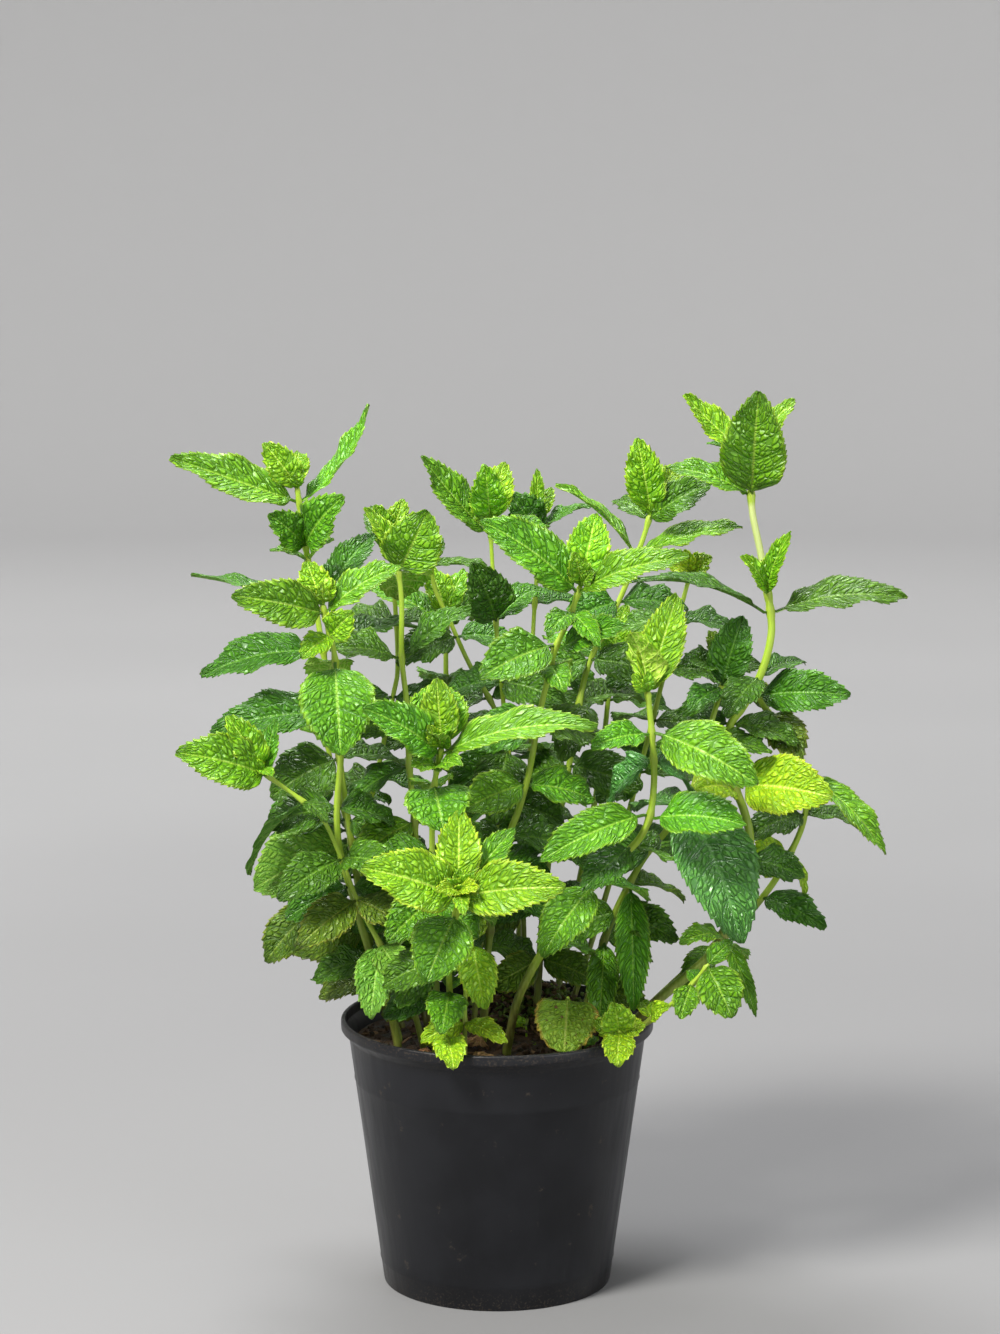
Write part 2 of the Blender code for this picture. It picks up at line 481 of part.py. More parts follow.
def leafBase(shoot, height, leaf):
    """Where a leaf starts: inside the stem, or just outside it for a pair that is its own piece."""
    axis = pointAt(shoot["stem"], height)
    if height not in shoot["own"]:
        return axis
    above = pointAt(shoot["stem"], height + 2)
    below = pointAt(shoot["stem"], height - 2)
    along = (above - below).normalized()
    out = Vector(leaf[:3]) - axis
    out = (out - along * out.dot(along)).normalized()
    return axis + out * (stemRadius(shoot, height) + 1.35)


def settle():
    """Places every leaf in turn, clear of the stems, the pot and the leaves before it."""
    ring = []
    for step in range(24):
        angle = step * math.pi / 12
        ring.append(Vector((63.2 * math.cos(angle), 63.2 * math.sin(angle), 108)))
    placed = [("pot", treeOf(tubeShell(ring + ring[:1], [5.4] * 25)))]
    ground = [Vector((0, 0, 60)), Vector((0, 0, 104.3))]
    placed.append(("soil", treeOf(tubeShell(ground, [63, 63]))))
    for shoot in shoots:
        path, radii = stemPart(shoot, 104, shoot["stem"][-1][2])
        clear = tubeShell(path, [radius + 0.45 for radius in radii])
        placed.append((f"tube_{shoot['name']}", treeOf(clear)))
    wanted = [(shoot, pair) for shoot in shoots for pair in shoot["pairs"]]
    wanted += [(shoot, pair) for shoot in shoots for pair in shoot.get("inner", [])]
    leaves = []
    for shoot, (height, tone, *pair) in wanted:
        group = groupOf(shoot, height)
        for leaf in pair:
            if leaf is None:
                continue
            base = leafBase(shoot, height, leaf)
            length = (Vector(leaf[:3]) - base).length
            start = min(0.45, (stemRadius(shoot, height) + 2.2) / length)
            found, tree = fitted(base, leaf, placed, group, start)
            if found is None:
                print("no room for a leaf of", group, "at", height)
                continue
            placed.append((group, tree))
            leaves.append((group, shoot, height, tone, base, found))
    return leaves


def clearScene():
    for old in list(bpy.data.objects):
        bpy.data.objects.remove(old, do_unlink=True)


def makeObject(name, points, faces):
    """A mesh object from points in millimetres."""
    mesh = bpy.data.meshes.new(name)
    mesh.from_pydata([point * millimetre for point in points], [], faces)
    shaped = bmesh.new()
    shaped.from_mesh(mesh)
    bmesh.ops.recalc_face_normals(shaped, faces=shaped.faces)
    shaped.to_mesh(mesh)
    shaped.free()
    made = bpy.data.objects.new(name, mesh)
    bpy.context.scene.collection.objects.link(made)
    return made


def joined(name, shells):
    """One closed body from shells that overlap each other."""
    main = makeObject(name, *shells[0])
    helpers = bpy.data.collections.new(name + "_helpers")
    for place, shell in enumerate(shells[1:]):
        helper = makeObject(f"{name}_helper_{place}", *shell)
        bpy.context.scene.collection.objects.unlink(helper)
        helpers.objects.link(helper)
    if len(shells) > 1:
        join = main.modifiers.new("join", "BOOLEAN")
        join.operation = "UNION"
        join.solver = "EXACT"
        join.operand_type = "COLLECTION"
        join.collection = helpers
        bpy.context.view_layer.update()
        graph = bpy.context.evaluated_depsgraph_get()
        whole = bpy.data.meshes.new_from_object(main.evaluated_get(graph))
        main.modifiers.clear()
        main.data = whole
        whole.name = name
    for helper in list(helpers.objects):
        bpy.data.objects.remove(helper, do_unlink=True)
    bpy.data.collections.remove(helpers)
    return main


def makeMaterial(name, colour, roughness):
    material = bpy.data.materials.new(name)
    material.use_nodes = True
    shader = material.node_tree.nodes["Principled BSDF"]
    shader.inputs["Base Color"].default_value = (*colour, 1)
    shader.inputs["Roughness"].default_value = roughness
    shader.inputs["Metallic"].default_value = 0
    material.diffuse_color = (*colour, 1)
    return material


def finish(made, material):
    """Gives a piece its material and smooth sides with the sharp edges kept."""
    made.data.materials.clear()
    made.data.materials.append(material)
    made.data.shade_smooth()
    made.data.set_sharp_from_angle(angle=math.radians(40))


def revolved(name, profile, facets):
    """A closed round piece from a profile of (radius, height) that starts and ends on the axis."""
    points = []
    rings = []
    for radius, height in profile:
        if radius == 0:
            rings.append([len(points)] * facets)
            points.append(Vector((0, 0, height)))
            continue
        rings.append(list(range(len(points), len(points) + facets)))
        for facet in range(facets):
            angle = 2 * math.pi * facet / facets
            points.append(Vector((radius * math.cos(angle), radius * math.sin(angle), height)))
    faces = []
    for first, second in zip(rings, rings[1:]):
        for facet in range(facets):
            after = (facet + 1) % facets
            corners = [first[facet], first[after], second[after], second[facet]]
            faces.append(list(dict.fromkeys(corners)))
    return makeObject(name, points, faces)


def makePot(material):
    """The pot: a tapered wall with a rolled lip, a foot ring, and drain holes in a raised ring."""
    top = pot_height / millimetre
    rim = pot_top_radius / millimetre
    foot = pot_base_radius / millimetre
    wall = pot_wall / millimetre
    profile = [
        (0, 0), (15.5, 0), (18.5, 2.2), (42.5, 2.2), (44.6, 0), (foot, 0), (foot + 0.4, 0.7),
        (rim - 3.4, top - 8), (rim - 0.5, top - 4.4), (rim, top - 3.6), (rim, top - 0.8),
        (rim - 0.6, top), (rim - 1.4, top), (rim - 1.9, top - 0.7), (rim - 1.9, top - 3.4),
        (rim - 3.4 - wall, top - 7.2),
        (foot + 0.4 - wall, 4.4), (foot - 1.6, 3.9), (17.6, 3.9), (14.6, 1.8), (0, 1.8),
    ]
    pot = revolved("pot", profile, pot_facets)
    holes = []
    for hole in range(drain_hole_count):
        angle = 2 * math.pi * (hole + 0.5) / drain_hole_count + 0.05
        centre = Vector((30 * math.cos(angle), 30 * math.sin(angle), 0))
        radius = drain_hole_radius / millimetre
        path = [centre - Vector((0, 0, 2)), centre + Vector((0, 0, 8))]
        cutter = makeObject(f"drain_cutter_{hole}", *tubeShell(path, [radius, radius]))
        holes.append(cutter)
        cut = pot.modifiers.new(f"drain_{hole}", "BOOLEAN")
        cut.operation = "DIFFERENCE"
        cut.solver = "EXACT"
        cut.object = cutter
    bpy.context.view_layer.update()
    graph = bpy.context.evaluated_depsgraph_get()
    whole = bpy.data.meshes.new_from_object(pot.evaluated_get(graph))
    pot.modifiers.clear()
    pot.data = whole
    for cutter in holes:
        bpy.data.objects.remove(cutter, do_unlink=True)
    finish(pot, material)


def soilHeight(x, y):
    """The uneven top of the soil, in millimetres."""
    wave = math.sin(x * 0.21 + 1.3) * math.cos(y * 0.17) * 0.5 + math.sin((x + y) * 0.35) * 0.3
    return soil_level / millimetre + wave + 0.4 * math.cos(math.hypot(x, y) / 22)


def makeSoil(material):
    """The soil fills the pot to a little under its rim and follows its floor."""
    foot = pot_base_radius / millimetre
    rim = pot_top_radius / millimetre
    wall = pot_wall / millimetre
    gap = soil_gap / millimetre
    top = pot_height / millimetre
    slope = (rim - 3.4 - wall - (foot + 0.4 - wall)) / (top - 7.2 - 4.4)
    edge = foot + 0.4 - wall + slope * (soil_level / millimetre - 4.4) - gap - 0.1
    low = foot - 1.6 - gap - 0.1
    profile = [(0, 1.8 + gap), (14.3, 1.8 + gap), (17.3, 3.9 + gap), (low, 3.9 + gap), (low + 1.2, 5.4)]
    profile += [(edge, soil_level / millimetre)]
    profile += [(edge * share, soil_level / millimetre) for share in (0.86, 0.7, 0.54, 0.38, 0.2)]
    profile += [(0, soil_level / millimetre)]
    soil = revolved("soil", profile, pot_facets)
    for point in soil.data.vertices:
        if point.co.z > soil_level - 0.0001:
            x = point.co.x / millimetre
            y = point.co.y / millimetre
            reach = math.hypot(x, y) / edge
            level = soil_level / millimetre
            point.co.z = (level + (soilHeight(x, y) - level) * (1 - reach ** 4)) * millimetre
    finish(soil, material)


def makeRing(shoot, height):
    """The clasping joint of two opposite leaves, a short sleeve round the stem."""
    radius = stemRadius(shoot, height)
    low = pointAt(shoot["stem"], height - 1.3)
    high = pointAt(shoot["stem"], height + 1.3)
    across, away = frameOf((high - low).normalized())
    points = []
    inner = radius + 0.5
    outer = radius + 1.7
    for point, reach in ((low, inner), (low, outer), (high, outer), (high, inner)):
        for corner in range(stem_sides):
            angle = 2 * math.pi * corner / stem_sides
            points.append(point + (across * math.cos(angle) + away * math.sin(angle)) * reach)
    faces = []
    for ring in range(4):
        first = ring * stem_sides
        second = (ring + 1) % 4 * stem_sides
        for corner in range(stem_sides):
            after = (corner + 1) % stem_sides
            faces.append((first + corner, first + after, second + after, second + corner))
    return points, faces


def makeShoots(leaves, materials):
    """Each shoot is a stem with its lower leaves, a crown, and pairs of large leaves on their own."""
    shells = {}
    tones = {}
    for shoot in shoots:
        name = shoot["name"]
        top = shoot["stem"][-1][2]
        if shoot["split"] is None:
            path, radii = stemPart(shoot, 104, top)
            shells[f"sprig_{name}"] = [tubeShell(path, radii, True)]
            tones[f"sprig_{name}"] = "lime"
            continue
        gap = node_gap / millimetre
        path, radii = stemPart(shoot, 104, shoot["split"] - 3)
        shells[f"stem_{name}"] = [tubeShell(path, radii, True)]
        tones[f"stem_{name}"] = "stem"
        path, radii = stemPart(shoot, shoot["split"] - 3 + gap * 1.6, top)
        path.append(path[-1] + (path[-1] - path[-2]).normalized() * 2.5)
        radii.append(radii[-1] * 0.35)
        shells[f"crown_{name}"] = [tubeShell(path, radii)]
        for place, height in enumerate(shoot["own"]):
            shells[f"leaf_pair_{name}_{place + 1}"] = [makeRing(shoot, height)]
    for group, shoot, height, tone, base, leaf in leaves:
        shells[group].append(leafShell(base, leaf, leaf_half_thickness / millimetre))
        tones.setdefault(group, tone)
    for group, pieces in shells.items():
        finish(joined(group, pieces), materials[tones[group]])


def main():
    clearScene()
    materials = {
        "pot": makeMaterial("pot_plastic", (0.012, 0.013, 0.016), 0.38),
        "soil": makeMaterial("soil", (0.035, 0.022, 0.014), 0.95),
        "stem": makeMaterial("stem", (0.2, 0.3, 0.04), 0.5),
        "young": makeMaterial("leaf_young", (0.3, 0.55, 0.05), 0.45),
        "fresh": makeMaterial("leaf_fresh", (0.14, 0.36, 0.04), 0.45),
        "dark": makeMaterial("leaf_dark", (0.035, 0.14, 0.025), 0.5),
        "lime": makeMaterial("leaf_lime", (0.42, 0.6, 0.06), 0.45),
    }
    for name, like in (("teal", "dark"), ("olive", "dark"), ("pale", "fresh"), ("spotted", "lime")):
        materials[name] = materials[like]
    makePot(materials["pot"])
    makeSoil(materials["soil"])
    makeShoots(settle(), materials)


main()
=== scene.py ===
import math
import random

import bmesh
import bpy
import numpy as np
from mathutils import Euler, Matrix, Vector, noise
from mathutils.bvhtree import BVHTree


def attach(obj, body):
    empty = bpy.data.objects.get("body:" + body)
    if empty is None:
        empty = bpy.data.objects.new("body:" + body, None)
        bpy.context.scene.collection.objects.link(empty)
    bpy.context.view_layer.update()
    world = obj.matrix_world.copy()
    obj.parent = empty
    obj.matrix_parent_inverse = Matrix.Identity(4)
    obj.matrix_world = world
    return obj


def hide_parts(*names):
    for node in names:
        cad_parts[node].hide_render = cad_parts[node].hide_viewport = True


# Potted mint: the solid parts come in as the frame, and every leaf, stem, crumb and the pot
# get their real shape and surface here.
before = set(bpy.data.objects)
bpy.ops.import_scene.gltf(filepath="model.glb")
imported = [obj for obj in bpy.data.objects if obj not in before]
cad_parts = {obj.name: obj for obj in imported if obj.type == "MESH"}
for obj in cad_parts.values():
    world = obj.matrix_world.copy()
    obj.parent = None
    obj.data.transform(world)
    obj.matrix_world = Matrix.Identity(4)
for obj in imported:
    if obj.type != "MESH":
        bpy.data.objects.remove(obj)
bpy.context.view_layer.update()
scene = bpy.context.scene
mm = 0.001

# What the leaves share with the solid model
leafPlan = {
    "fold": math.radians(14),
    "petioleShare": 0.07,
    "petioleHalf": 0.7,
    "fullness": 1.16,
    "belly": 0.76,
    "roundness": 0.7,
    "stemSides": 8,
}

# How far leaves keep from the pot, the soil, the stems and each other, in millimetres
clearance = {
    "rimRing": 63.2,
    "rimHeight": 108,
    "rimReach": 5.4,
    "ground": 104.3,
    "groundReach": 63,
    "stem": 0.45,
    "leafHalf": 0.85,
    "leafEdge": 0.6,
    "ownPair": 1.35,
}

# Every length in the plan is in millimetres.
# A shoot has a stem, given as points from the soil up, and pairs of leaves.
# A pair is: height on the stem, tone, one leaf, the other leaf.
# A leaf is: tip x, y, z, lean of its face towards the front in degrees, width, arch.
shoots = [
    {"name": "10", "thick": (1.5, 1.0), "split": 165, "own": [],
     "stem": [(-17, -33, 104), (-19, -44, 130), (-19, -56, 155), (-16, -66, 172), (-15, -73, 182)],
     "pairs": [
         (181, "young", (-15, -61, 211, 75, 16), (-13, -90, 175, 30, 6)),
         (178, "young", (-53, -88, 194, 60, 22), (27, -88, 186, 60, 20)),
         (182, "lime", (-24, -85, 184, 60, 7), (-7, -85, 185, 60, 7)),
         (177, "fresh", (7, -62, 204, 60, 12), (-28, -70, 196, 50, 6)),
         (170, "fresh", (-28, -80, 146, 60, 22), (-2, -40, 160, 20, 13))],
     "inner": [
         (150, "dark", (-46, -50, 137, 50, 16), None),
         (134, "fresh", (-22, -68, 122, 60, 15), (-20, -16, 126, 20, 13))]},
    {"name": "14", "thick": (1.8, 1.1), "split": 250, "own": [239, 205],
     "stem": [(4, -24, 104), (10, -28, 130), (28, -34, 163), (39, -37, 176), (49, -39, 187),
              (56, -40, 194), (60, -41, 201), (62, -41, 208), (63, -41, 221), (62, -42, 238),
              (60, -43, 257)],
     "pairs": [
         (256, "young", (53, -52, 281, 0, 16), (72, -34, 294, 70, 16)),
         (239, "fresh", (103, -64, 222, 55, 22), (37, -58, 236, 45, 12)),
         (205, "fresh", (17, -58, 190, 50, 17), (99, -60, 205, 45, 19)),
         (228, "teal", (46, -22, 207, 40, 16), (79, -18, 208, 40, 18)),
         (176, "fresh", (18, -54, 150, 45, 18), (62, -14, 164, 20, 15))],
     "inner": [
         (150, "dark", None, (40, -12, 141, 30, 15)),
         (192, "dark", (34, -58, 178, 50, 15), (76, -24, 181, 30, 16))]},
    {"name": "09", "thick": (1.5, 1.0), "split": 212, "own": [],
     "stem": [(-24, -38, 104), (-25, -36, 143), (-26, -38, 180), (-26, -42, 205), (-25, -45, 219),
              (-22, -48, 235)],
     "pairs": [
         (236, "young", (-24, -46, 262, 75, 14), (-18, -54, 243, 30, 5)),
         (231, "fresh", (-53, -58, 253, 50, 18), (40, -62, 245, 30, 18)),
         (234, "fresh", (-25, -34, 258, 75, 22), (-24, -62, 242, 20, 6)),
         (226, "fresh", (-34, -62, 229, 50, 10), (-14, -62, 230, 50, 10)),
         (218, "fresh", (-21, -67, 203, 60, 24), (-28, -18, 210, 20, 16)),
         (150, "dark", (-40, -50, 128, 60, 15), (-2, -16, 140, 20, 15))],
     "inner": [
         (190, "dark", (-52, -30, 179, 40, 18), (0, -30, 184, 40, 18)),
         (170, "fresh", (-44, -58, 157, 60, 17), (-8, -58, 156, 50, 16)),
         (130, "dark", (-46, -30, 121, 40, 14), None)]},
    {"name": "02", "thick": (1.7, 1.0), "split": 272, "own": [266],
     "stem": [(-41, -16, 104), (-45, -17, 123), (-53, -19, 146), (-59, -21, 168), (-64, -23, 187),
              (-65, -25, 205), (-63, -27, 232), (-65, -30, 266), (-67, -33, 277), (-70, -35, 291)],
     "pairs": [
         (266, "fresh", (-62, -54, 232, 45, 27), (-70, -2, 250, 0, 18)),
         (290, "young", (-76, -32, 307, 75, 12), (-71, -28, 302, 60, 9)),
         (286, "fresh", (-105, -42, 296, 55, 17), (-38, -30, 305, 35, 14)),
         (277, "young", (-78, -46, 270, 60, 10), (-57, -42, 288, 60, 12))],
     "inner": [
         (205, "dark", (-94, -34, 196, 50, 17), (-42, -10, 196, 30, 17)),
         (172, "dark", (-86, -30, 160, 50, 17), (-38, -14, 160, 30, 16)),
         (140, "dark", (-76, -10, 130, 40, 15), (-34, -34, 128, 50, 14))]},
    {"name": "03", "thick": (1.3, 0.8), "split": 214, "own": [],
     "stem": [(-30, -24, 104), (-35, -26, 123), (-46, -28, 146), (-57, -29, 168), (-63, -30, 185),
              (-70, -31, 201), (-78, -32, 209), (-95, -34, 222)],
     "pairs": [
         (220, "fresh", (-128, -46, 233, 60, 20), (-89, -28, 242, 0, 9)),
         (222, "young", (-108, -40, 246, 55, 13), (-90, -46, 222, 30, 6)),
         (209, "dark", (-101, -24, 177, 0, 12), (-68, -48, 204, 20, 7)),
         (149, "pale", (-51, -52, 124, 60, 15), (-37, -48, 137, 60, 13)),
         (128, "lime", (-43, -40, 120, 50, 9), (-24, -18, 122, 30, 8))],
     "inner": [
         (185, "dark", (-88, -48, 172, 50, 17), (-42, -20, 176, 40, 16)),
         (168, "olive", (-80, -44, 152, 60, 16), (-38, -36, 158, 40, 15))]},
    {"name": "08", "thick": (1.7, 1.0), "split": 278, "own": [270],
     "stem": [(-6, -8, 104), (-3, -8, 150), (4, -9, 187), (9, -10, 202), (13, -11, 217), (16, -12, 234),
              (18, -13, 245), (21, -14, 258), (24, -15, 270), (29, -16, 281), (34, -17, 296)],
     "pairs": [
         (296, "young", (40, -12, 324, 75, 16), (31, -24, 310, 60, 9)),
         (292, "fresh", (-7, -28, 323, 50, 20), (77, -24, 309, 30, 15)),
         (270, "fresh", (-7, -34, 260, 55, 20), (52, -26, 281, 50, 14)),
         (284, "fresh", (20, -34, 277, 45, 10), (41, -34, 273, 45, 9)),
         (262, "fresh", (27, -34, 254, 60, 11), (24, 8, 254, 0, 14)),
         (150, "dark", (-26, -8, 132, 30, 15), None)],
     "inner": [
         (238, "dark", (-10, -10, 228, 50, 19), (42, -6, 230, 40, 18)),
         (212, "fresh", (-14, -20, 203, 50, 18), (40, -4, 204, 40, 17)),
         (190, "dark", (-22, -2, 180, 40, 18), (30, 4, 182, 40, 18)),
         (170, "dark", (-18, -28, 158, 60, 17), (24, -22, 160, 50, 16))]},
    {"name": "12", "thick": (2.0, 1.3), "split": 322, "own": [282, 210],
     "stem": [(50, -10, 104), (65, -10, 120), (86, -9, 138), (93, -8, 148), (100, -8, 166),
              (104, -7, 186),
              (102, -6, 199), (97, -5, 212), (94, -4, 225), (96, -3, 236), (101, -2, 243),
              (108, -1, 256),
              (112, 0, 270), (112, 1, 282), (108, 2, 305), (104, 3, 325), (104, 6, 345)],
     "pairs": [
         (329, "fresh", (105, -16, 374, 0, 24, 0.06), (69, 10, 340, 30, 14)),
         (345, "young", (76, 4, 371, 40, 13, -0.04), (122, 12, 368, 30, 10)),
         (341, "fresh", (86, 14, 350, 0, 9), (118, 20, 350, 20, 8)),
         (282, "dark", (53, -14, 296, 10, 14), (167, -10, 289, 35, 16)),
         (210, "lime", (136, -28, 210, 60, 24), (80, -28, 213, 50, 17)),
         (289, "young", (119, -8, 317, 40, 9), (99, -9, 307, 50, 9)),
         (148, "fresh", (106, -26, 118, 30, 7), (74, -30, 150, 40, 10))],
     "inner": [
         (236, "dark", (70, 8, 226, 30, 16), (124, 12, 232, 30, 14)),
         (180, "dark", (78, 6, 170, 30, 16), (126, -16, 174, 40, 15)),
         (255, "dark", (84, 12, 250, 30, 14), (128, 10, 258, 20, 11))]},
    {"name": "04", "thick": (1.5, 1.0), "split": 290, "own": [264],
     "stem": [(-27, -10, 104), (-29, -10, 132), (-32, -9, 163), (-34, -8, 197), (-36, -7, 219),
              (-37, -6, 245),
              (-39, -5, 264), (-39, -5, 288), (-41, -5, 305)],
     "pairs": [
         (299, "fresh", (-28, 0, 325, 85, 22), (-40, 24, 283, 0, 24)),
         (305, "young", (-54, -8, 326, 40, 7), (-46, 2, 320, 50, 7)),
         (264, "dark", (-68, -14, 268, 25, 20), (-10, -8, 284, 25, 16)),
         (219, "dark", (-63, 2, 199, 30, 14), (-18, 10, 212, 20, 14)),
         (196, "fresh", (-59, -22, 181, 40, 17), (-12, 8, 182, 20, 15)),
         (166, "dark", (-60, -4, 150, 50, 18), (-8, 0, 156, 30, 14))],
     "inner": [
         (242, "dark", (-58, -24, 234, 50, 17), (-12, -16, 238, 50, 17)),
         (182, "dark", (-62, 8, 172, 30, 17), (-6, -14, 170, 50, 16)),
         (146, "dark", (-54, -20, 134, 50, 16), (-4, -16, 136, 50, 15)),
         (124, "olive", (-48, -2, 114, 50, 13), None)]},
    {"name": "13", "thick": (1.6, 1.0), "split": 245, "own": [203],
     "stem": [(34, -6, 104), (44, -6, 145), (58, -9, 177), (70, -12, 194), (79, -13, 208), (88, -6, 238),
              (93, 4, 252), (93, 6, 260)],
     "pairs": [
         (203, "teal", (98, -48, 154, 45, 29, 0.2), (58, 14, 196, 20, 18)),
         (259, "lime", (99, 6, 278, 10, 5), (88, 14, 272, 30, 8)),
         (257, "dark", (76, 0, 262, 30, 13), (109, 14, 258, 35, 12)),
         (250, "dark", (101, 28, 280, 50, 16), (78, -14, 243, 30, 12)),
         (170, "fresh", (56, -24, 120, 60, 13), (78, 12, 158, 20, 14)),
         (146, "fresh", (42, -20, 112, 60, 12), (64, 18, 132, 50, 14))],
     "inner": [
         (228, "dark", (62, 2, 218, 40, 17), (112, -6, 226, 40, 14)),
         (186, "dark", (38, -10, 176, 50, 18), (88, 8, 178, 30, 17)),
         (158, "dark", (28, -6, 148, 50, 16), (74, -18, 148, 50, 15)),
         (126, "olive", None, (62, -18, 120, 50, 13))]},
    {"name": "01", "thick": (1.6, 1.0), "split": 300, "own": [284, 267],
     "stem": [(-41, -4, 104), (-54, -4, 150), (-62, -4, 200), (-67, -5, 240), (-72, -5, 272),
              (-76, -6, 298),
              (-79, -8, 318), (-81, -9, 335)],
     "pairs": [
         (328, "fresh", (-131, -24, 348, 45, 18, 0.0), (-52, 4, 367, 0, 15, -0.1)),
         (335, "young", (-94, -14, 353, 70, 12), (-81, 6, 347, 60, 9)),
         (310, "fresh", (-92, -22, 325, 50, 14), (-61, -18, 333, 45, 17)),
         (304, "fresh", (-92, -14, 309, 20, 7), (-66, -10, 313, 10, 7)),
         (284, "dark", (-126, 8, 296, 0, 15, 0.04), (-50, 14, 313, 30, 14)),
         (267, "dark", (-121, -6, 256, 35, 19), (-22, 8, 279, 10, 18)),
         (240, "dark", (-117, -14, 234, 40, 20), (-46, 10, 246, 20, 16)),
         (222, "dark", (-93, -8, 206, 50, 22), (-38, 12, 215, 20, 16)),
         (186, "pale", (-100, -12, 169, 60, 29), (-34, 14, 172, 30, 18))],
     "inner": [
         (196, "dark", (-94, 10, 186, 30, 18), (-40, -6, 187, 40, 17)),
         (172, "dark", (-90, 8, 160, 30, 17), (-36, 2, 162, 40, 16)),
         (152, "olive", (-84, -12, 140, 50, 17), (-30, 2, 144, 40, 15)),
         (130, "olive", (-74, 2, 120, 40, 14), (-34, -12, 122, 40, 13))]},
    {"name": "06", "thick": (1.2, 0.8), "split": 300, "own": [],
     "stem": [(-10, 4, 104), (-6, 8, 150), (-1, 12, 187), (3, 14, 197), (5, 16, 212), (4, 17, 227),
              (2, 19, 247), (0, 20, 268), (-2, 21, 300), (-3, 21, 317)],
     "pairs": [
         (311, "fresh", (-31, 14, 345, 40, 15, -0.04), (22, 34, 313, 20, 13)),
         (317, "young", (-5, 8, 342, 60, 14), (3, 26, 341, 60, 13)),
         (275, "dark", (-10, 4, 302, 60, 18), (18, 30, 288, 20, 16)),
         (222, "dark", (-1, 0, 193, 60, 21), (20, 44, 213, 20, 16))],
     "inner": [
         (250, "dark", (-24, 32, 240, 30, 18), (28, 6, 243, 50, 18)),
         (200, "dark", (-26, 24, 190, 40, 18), (28, 0, 192, 50, 18)),
         (172, "dark", (-28, 14, 160, 50, 17), (22, 28, 162, 30, 17)),
         (140, "dark", (-32, 6, 128, 50, 16), (18, 22, 130, 40, 15))]},
    {"name": "15", "thick": (1.6, 1.0), "split": 225, "own": [],
     "stem": [(52, 4, 104), (78, 8, 128), (100, 10, 148), (113, 11, 163), (122, 12, 178), (128, 12, 194),
              (128, 11, 212), (122, 10, 229), (112, 8, 239), (107, 7, 247)],
     "pairs": [
         (246, "dark", (145, -4, 248, 60, 17), (74, 2, 238, 20, 13)),
         (239, "olive", (124, -8, 220, 40, 16), (104, 30, 248, 20, 10)),
         (212, "fresh", (161, 2, 180, 25, 13), (112, 34, 205, 20, 14)),
         (178, "lime", (105, 0, 174, 60, 19), (128, 6, 162, 0, 6)),
         (140, "fresh", (76, -8, 124, 50, 11), (104, 30, 128, 20, 13))],
     "inner": [
         (195, "dark", (102, -4, 188, 40, 15), (152, 26, 186, 20, 13)),
         (160, "dark", (92, 28, 150, 20, 15), (136, -4, 150, 40, 14))]},
    {"name": "11", "thick": (1.6, 1.0), "split": 310, "own": [],
     "stem": [(16, 8, 104), (19, 12, 150), (23, 16, 187), (28, 19, 202), (34, 24, 239), (39, 27, 258),
              (46, 28, 272), (54, 29, 290), (58, 30, 301), (61, 31, 309), (64, 32, 319)],
     "pairs": [
         (319, "young", (58, 28, 351, 80, 15), (76, 44, 339, 60, 10)),
         (316, "dark", (89, 24, 332, 50, 15), (50, 52, 322, 30, 12)),
         (301, "fresh", (24, 24, 332, 10, 13, 0.08), (102, 24, 314, 25, 14, 0.07)),
         (240, "dark", (27, -8, 221, 60, 18), (62, 52, 236, 20, 18)),
         (180, "dark", (2, 24, 168, 30, 15), (46, 10, 172, 30, 15))],
     "inner": [
         (282, "dark", (28, 20, 274, 50, 17), (80, 32, 278, 30, 16)),
         (258, "dark", (16, 30, 250, 50, 17), (70, 12, 252, 50, 17)),
         (214, "dark", (8, 34, 204, 40, 18), (60, 10, 206, 50, 18)),
         (160, "dark", (-4, 20, 150, 50, 17), (46, 26, 150, 30, 16)),
         (134, "olive", (-4, 10, 124, 50, 14), (42, 8, 124, 50, 14))]},
    {"name": "05", "thick": (1.2, 0.9), "split": 292, "own": [],
     "stem": [(-30, 20, 104), (-42, 27, 150), (-53, 31, 190), (-51, 34, 206), (-44, 40, 240),
              (-42, 42, 253),
              (-43, 42, 280), (-45, 42, 306)],
     "pairs": [
         (306, "young", (-51, 38, 322, 60, 9), (-39, 48, 323, 60, 9)),
         (300, "dark", (-54, 56, 318, 30, 12), (-37, 30, 318, 30, 12)),
         (272, "dark", (-72, 60, 266, 20, 18), (-20, 62, 262, 20, 16)),
         (206, "dark", (-76, 46, 194, 20, 18), (-26, 44, 196, 20, 16))],
     "inner": [
         (240, "dark", (-72, 28, 232, 40, 18), (-18, 28, 234, 40, 17)),
         (176, "dark", (-76, 18, 166, 40, 17), (-24, 42, 168, 30, 16)),
         (142, "dark", (-66, 18, 130, 40, 15), (-16, 36, 132, 30, 14))]},
    {"name": "16", "thick": (1.2, 0.9), "split": 285, "own": [],
     "stem": [(12, 26, 104), (11, 30, 150), (9, 34, 190), (2, 36, 228), (-12, 38, 255), (-20, 38, 273),
              (-26, 38, 286), (-28, 38, 297)],
     "pairs": [
         (296, "dark", (0, 34, 293, 10, 10), (-30, 58, 306, 30, 12)),
         (240, "dark", (-26, 54, 226, 30, 18), (28, 50, 236, 20, 16)),
         (180, "dark", (-18, 46, 166, 30, 16), (34, 44, 170, 20, 16))],
     "inner": [
         (266, "dark", (-42, 26, 256, 40, 17), (8, 44, 262, 30, 16)),
         (214, "dark", (-20, 16, 204, 50, 18), (32, 52, 208, 20, 17)),
         (150, "olive", (-16, 14, 138, 50, 16), (36, 44, 140, 30, 15))]},
    {"name": "07", "thick": (1.2, 0.8), "split": 298, "own": [],
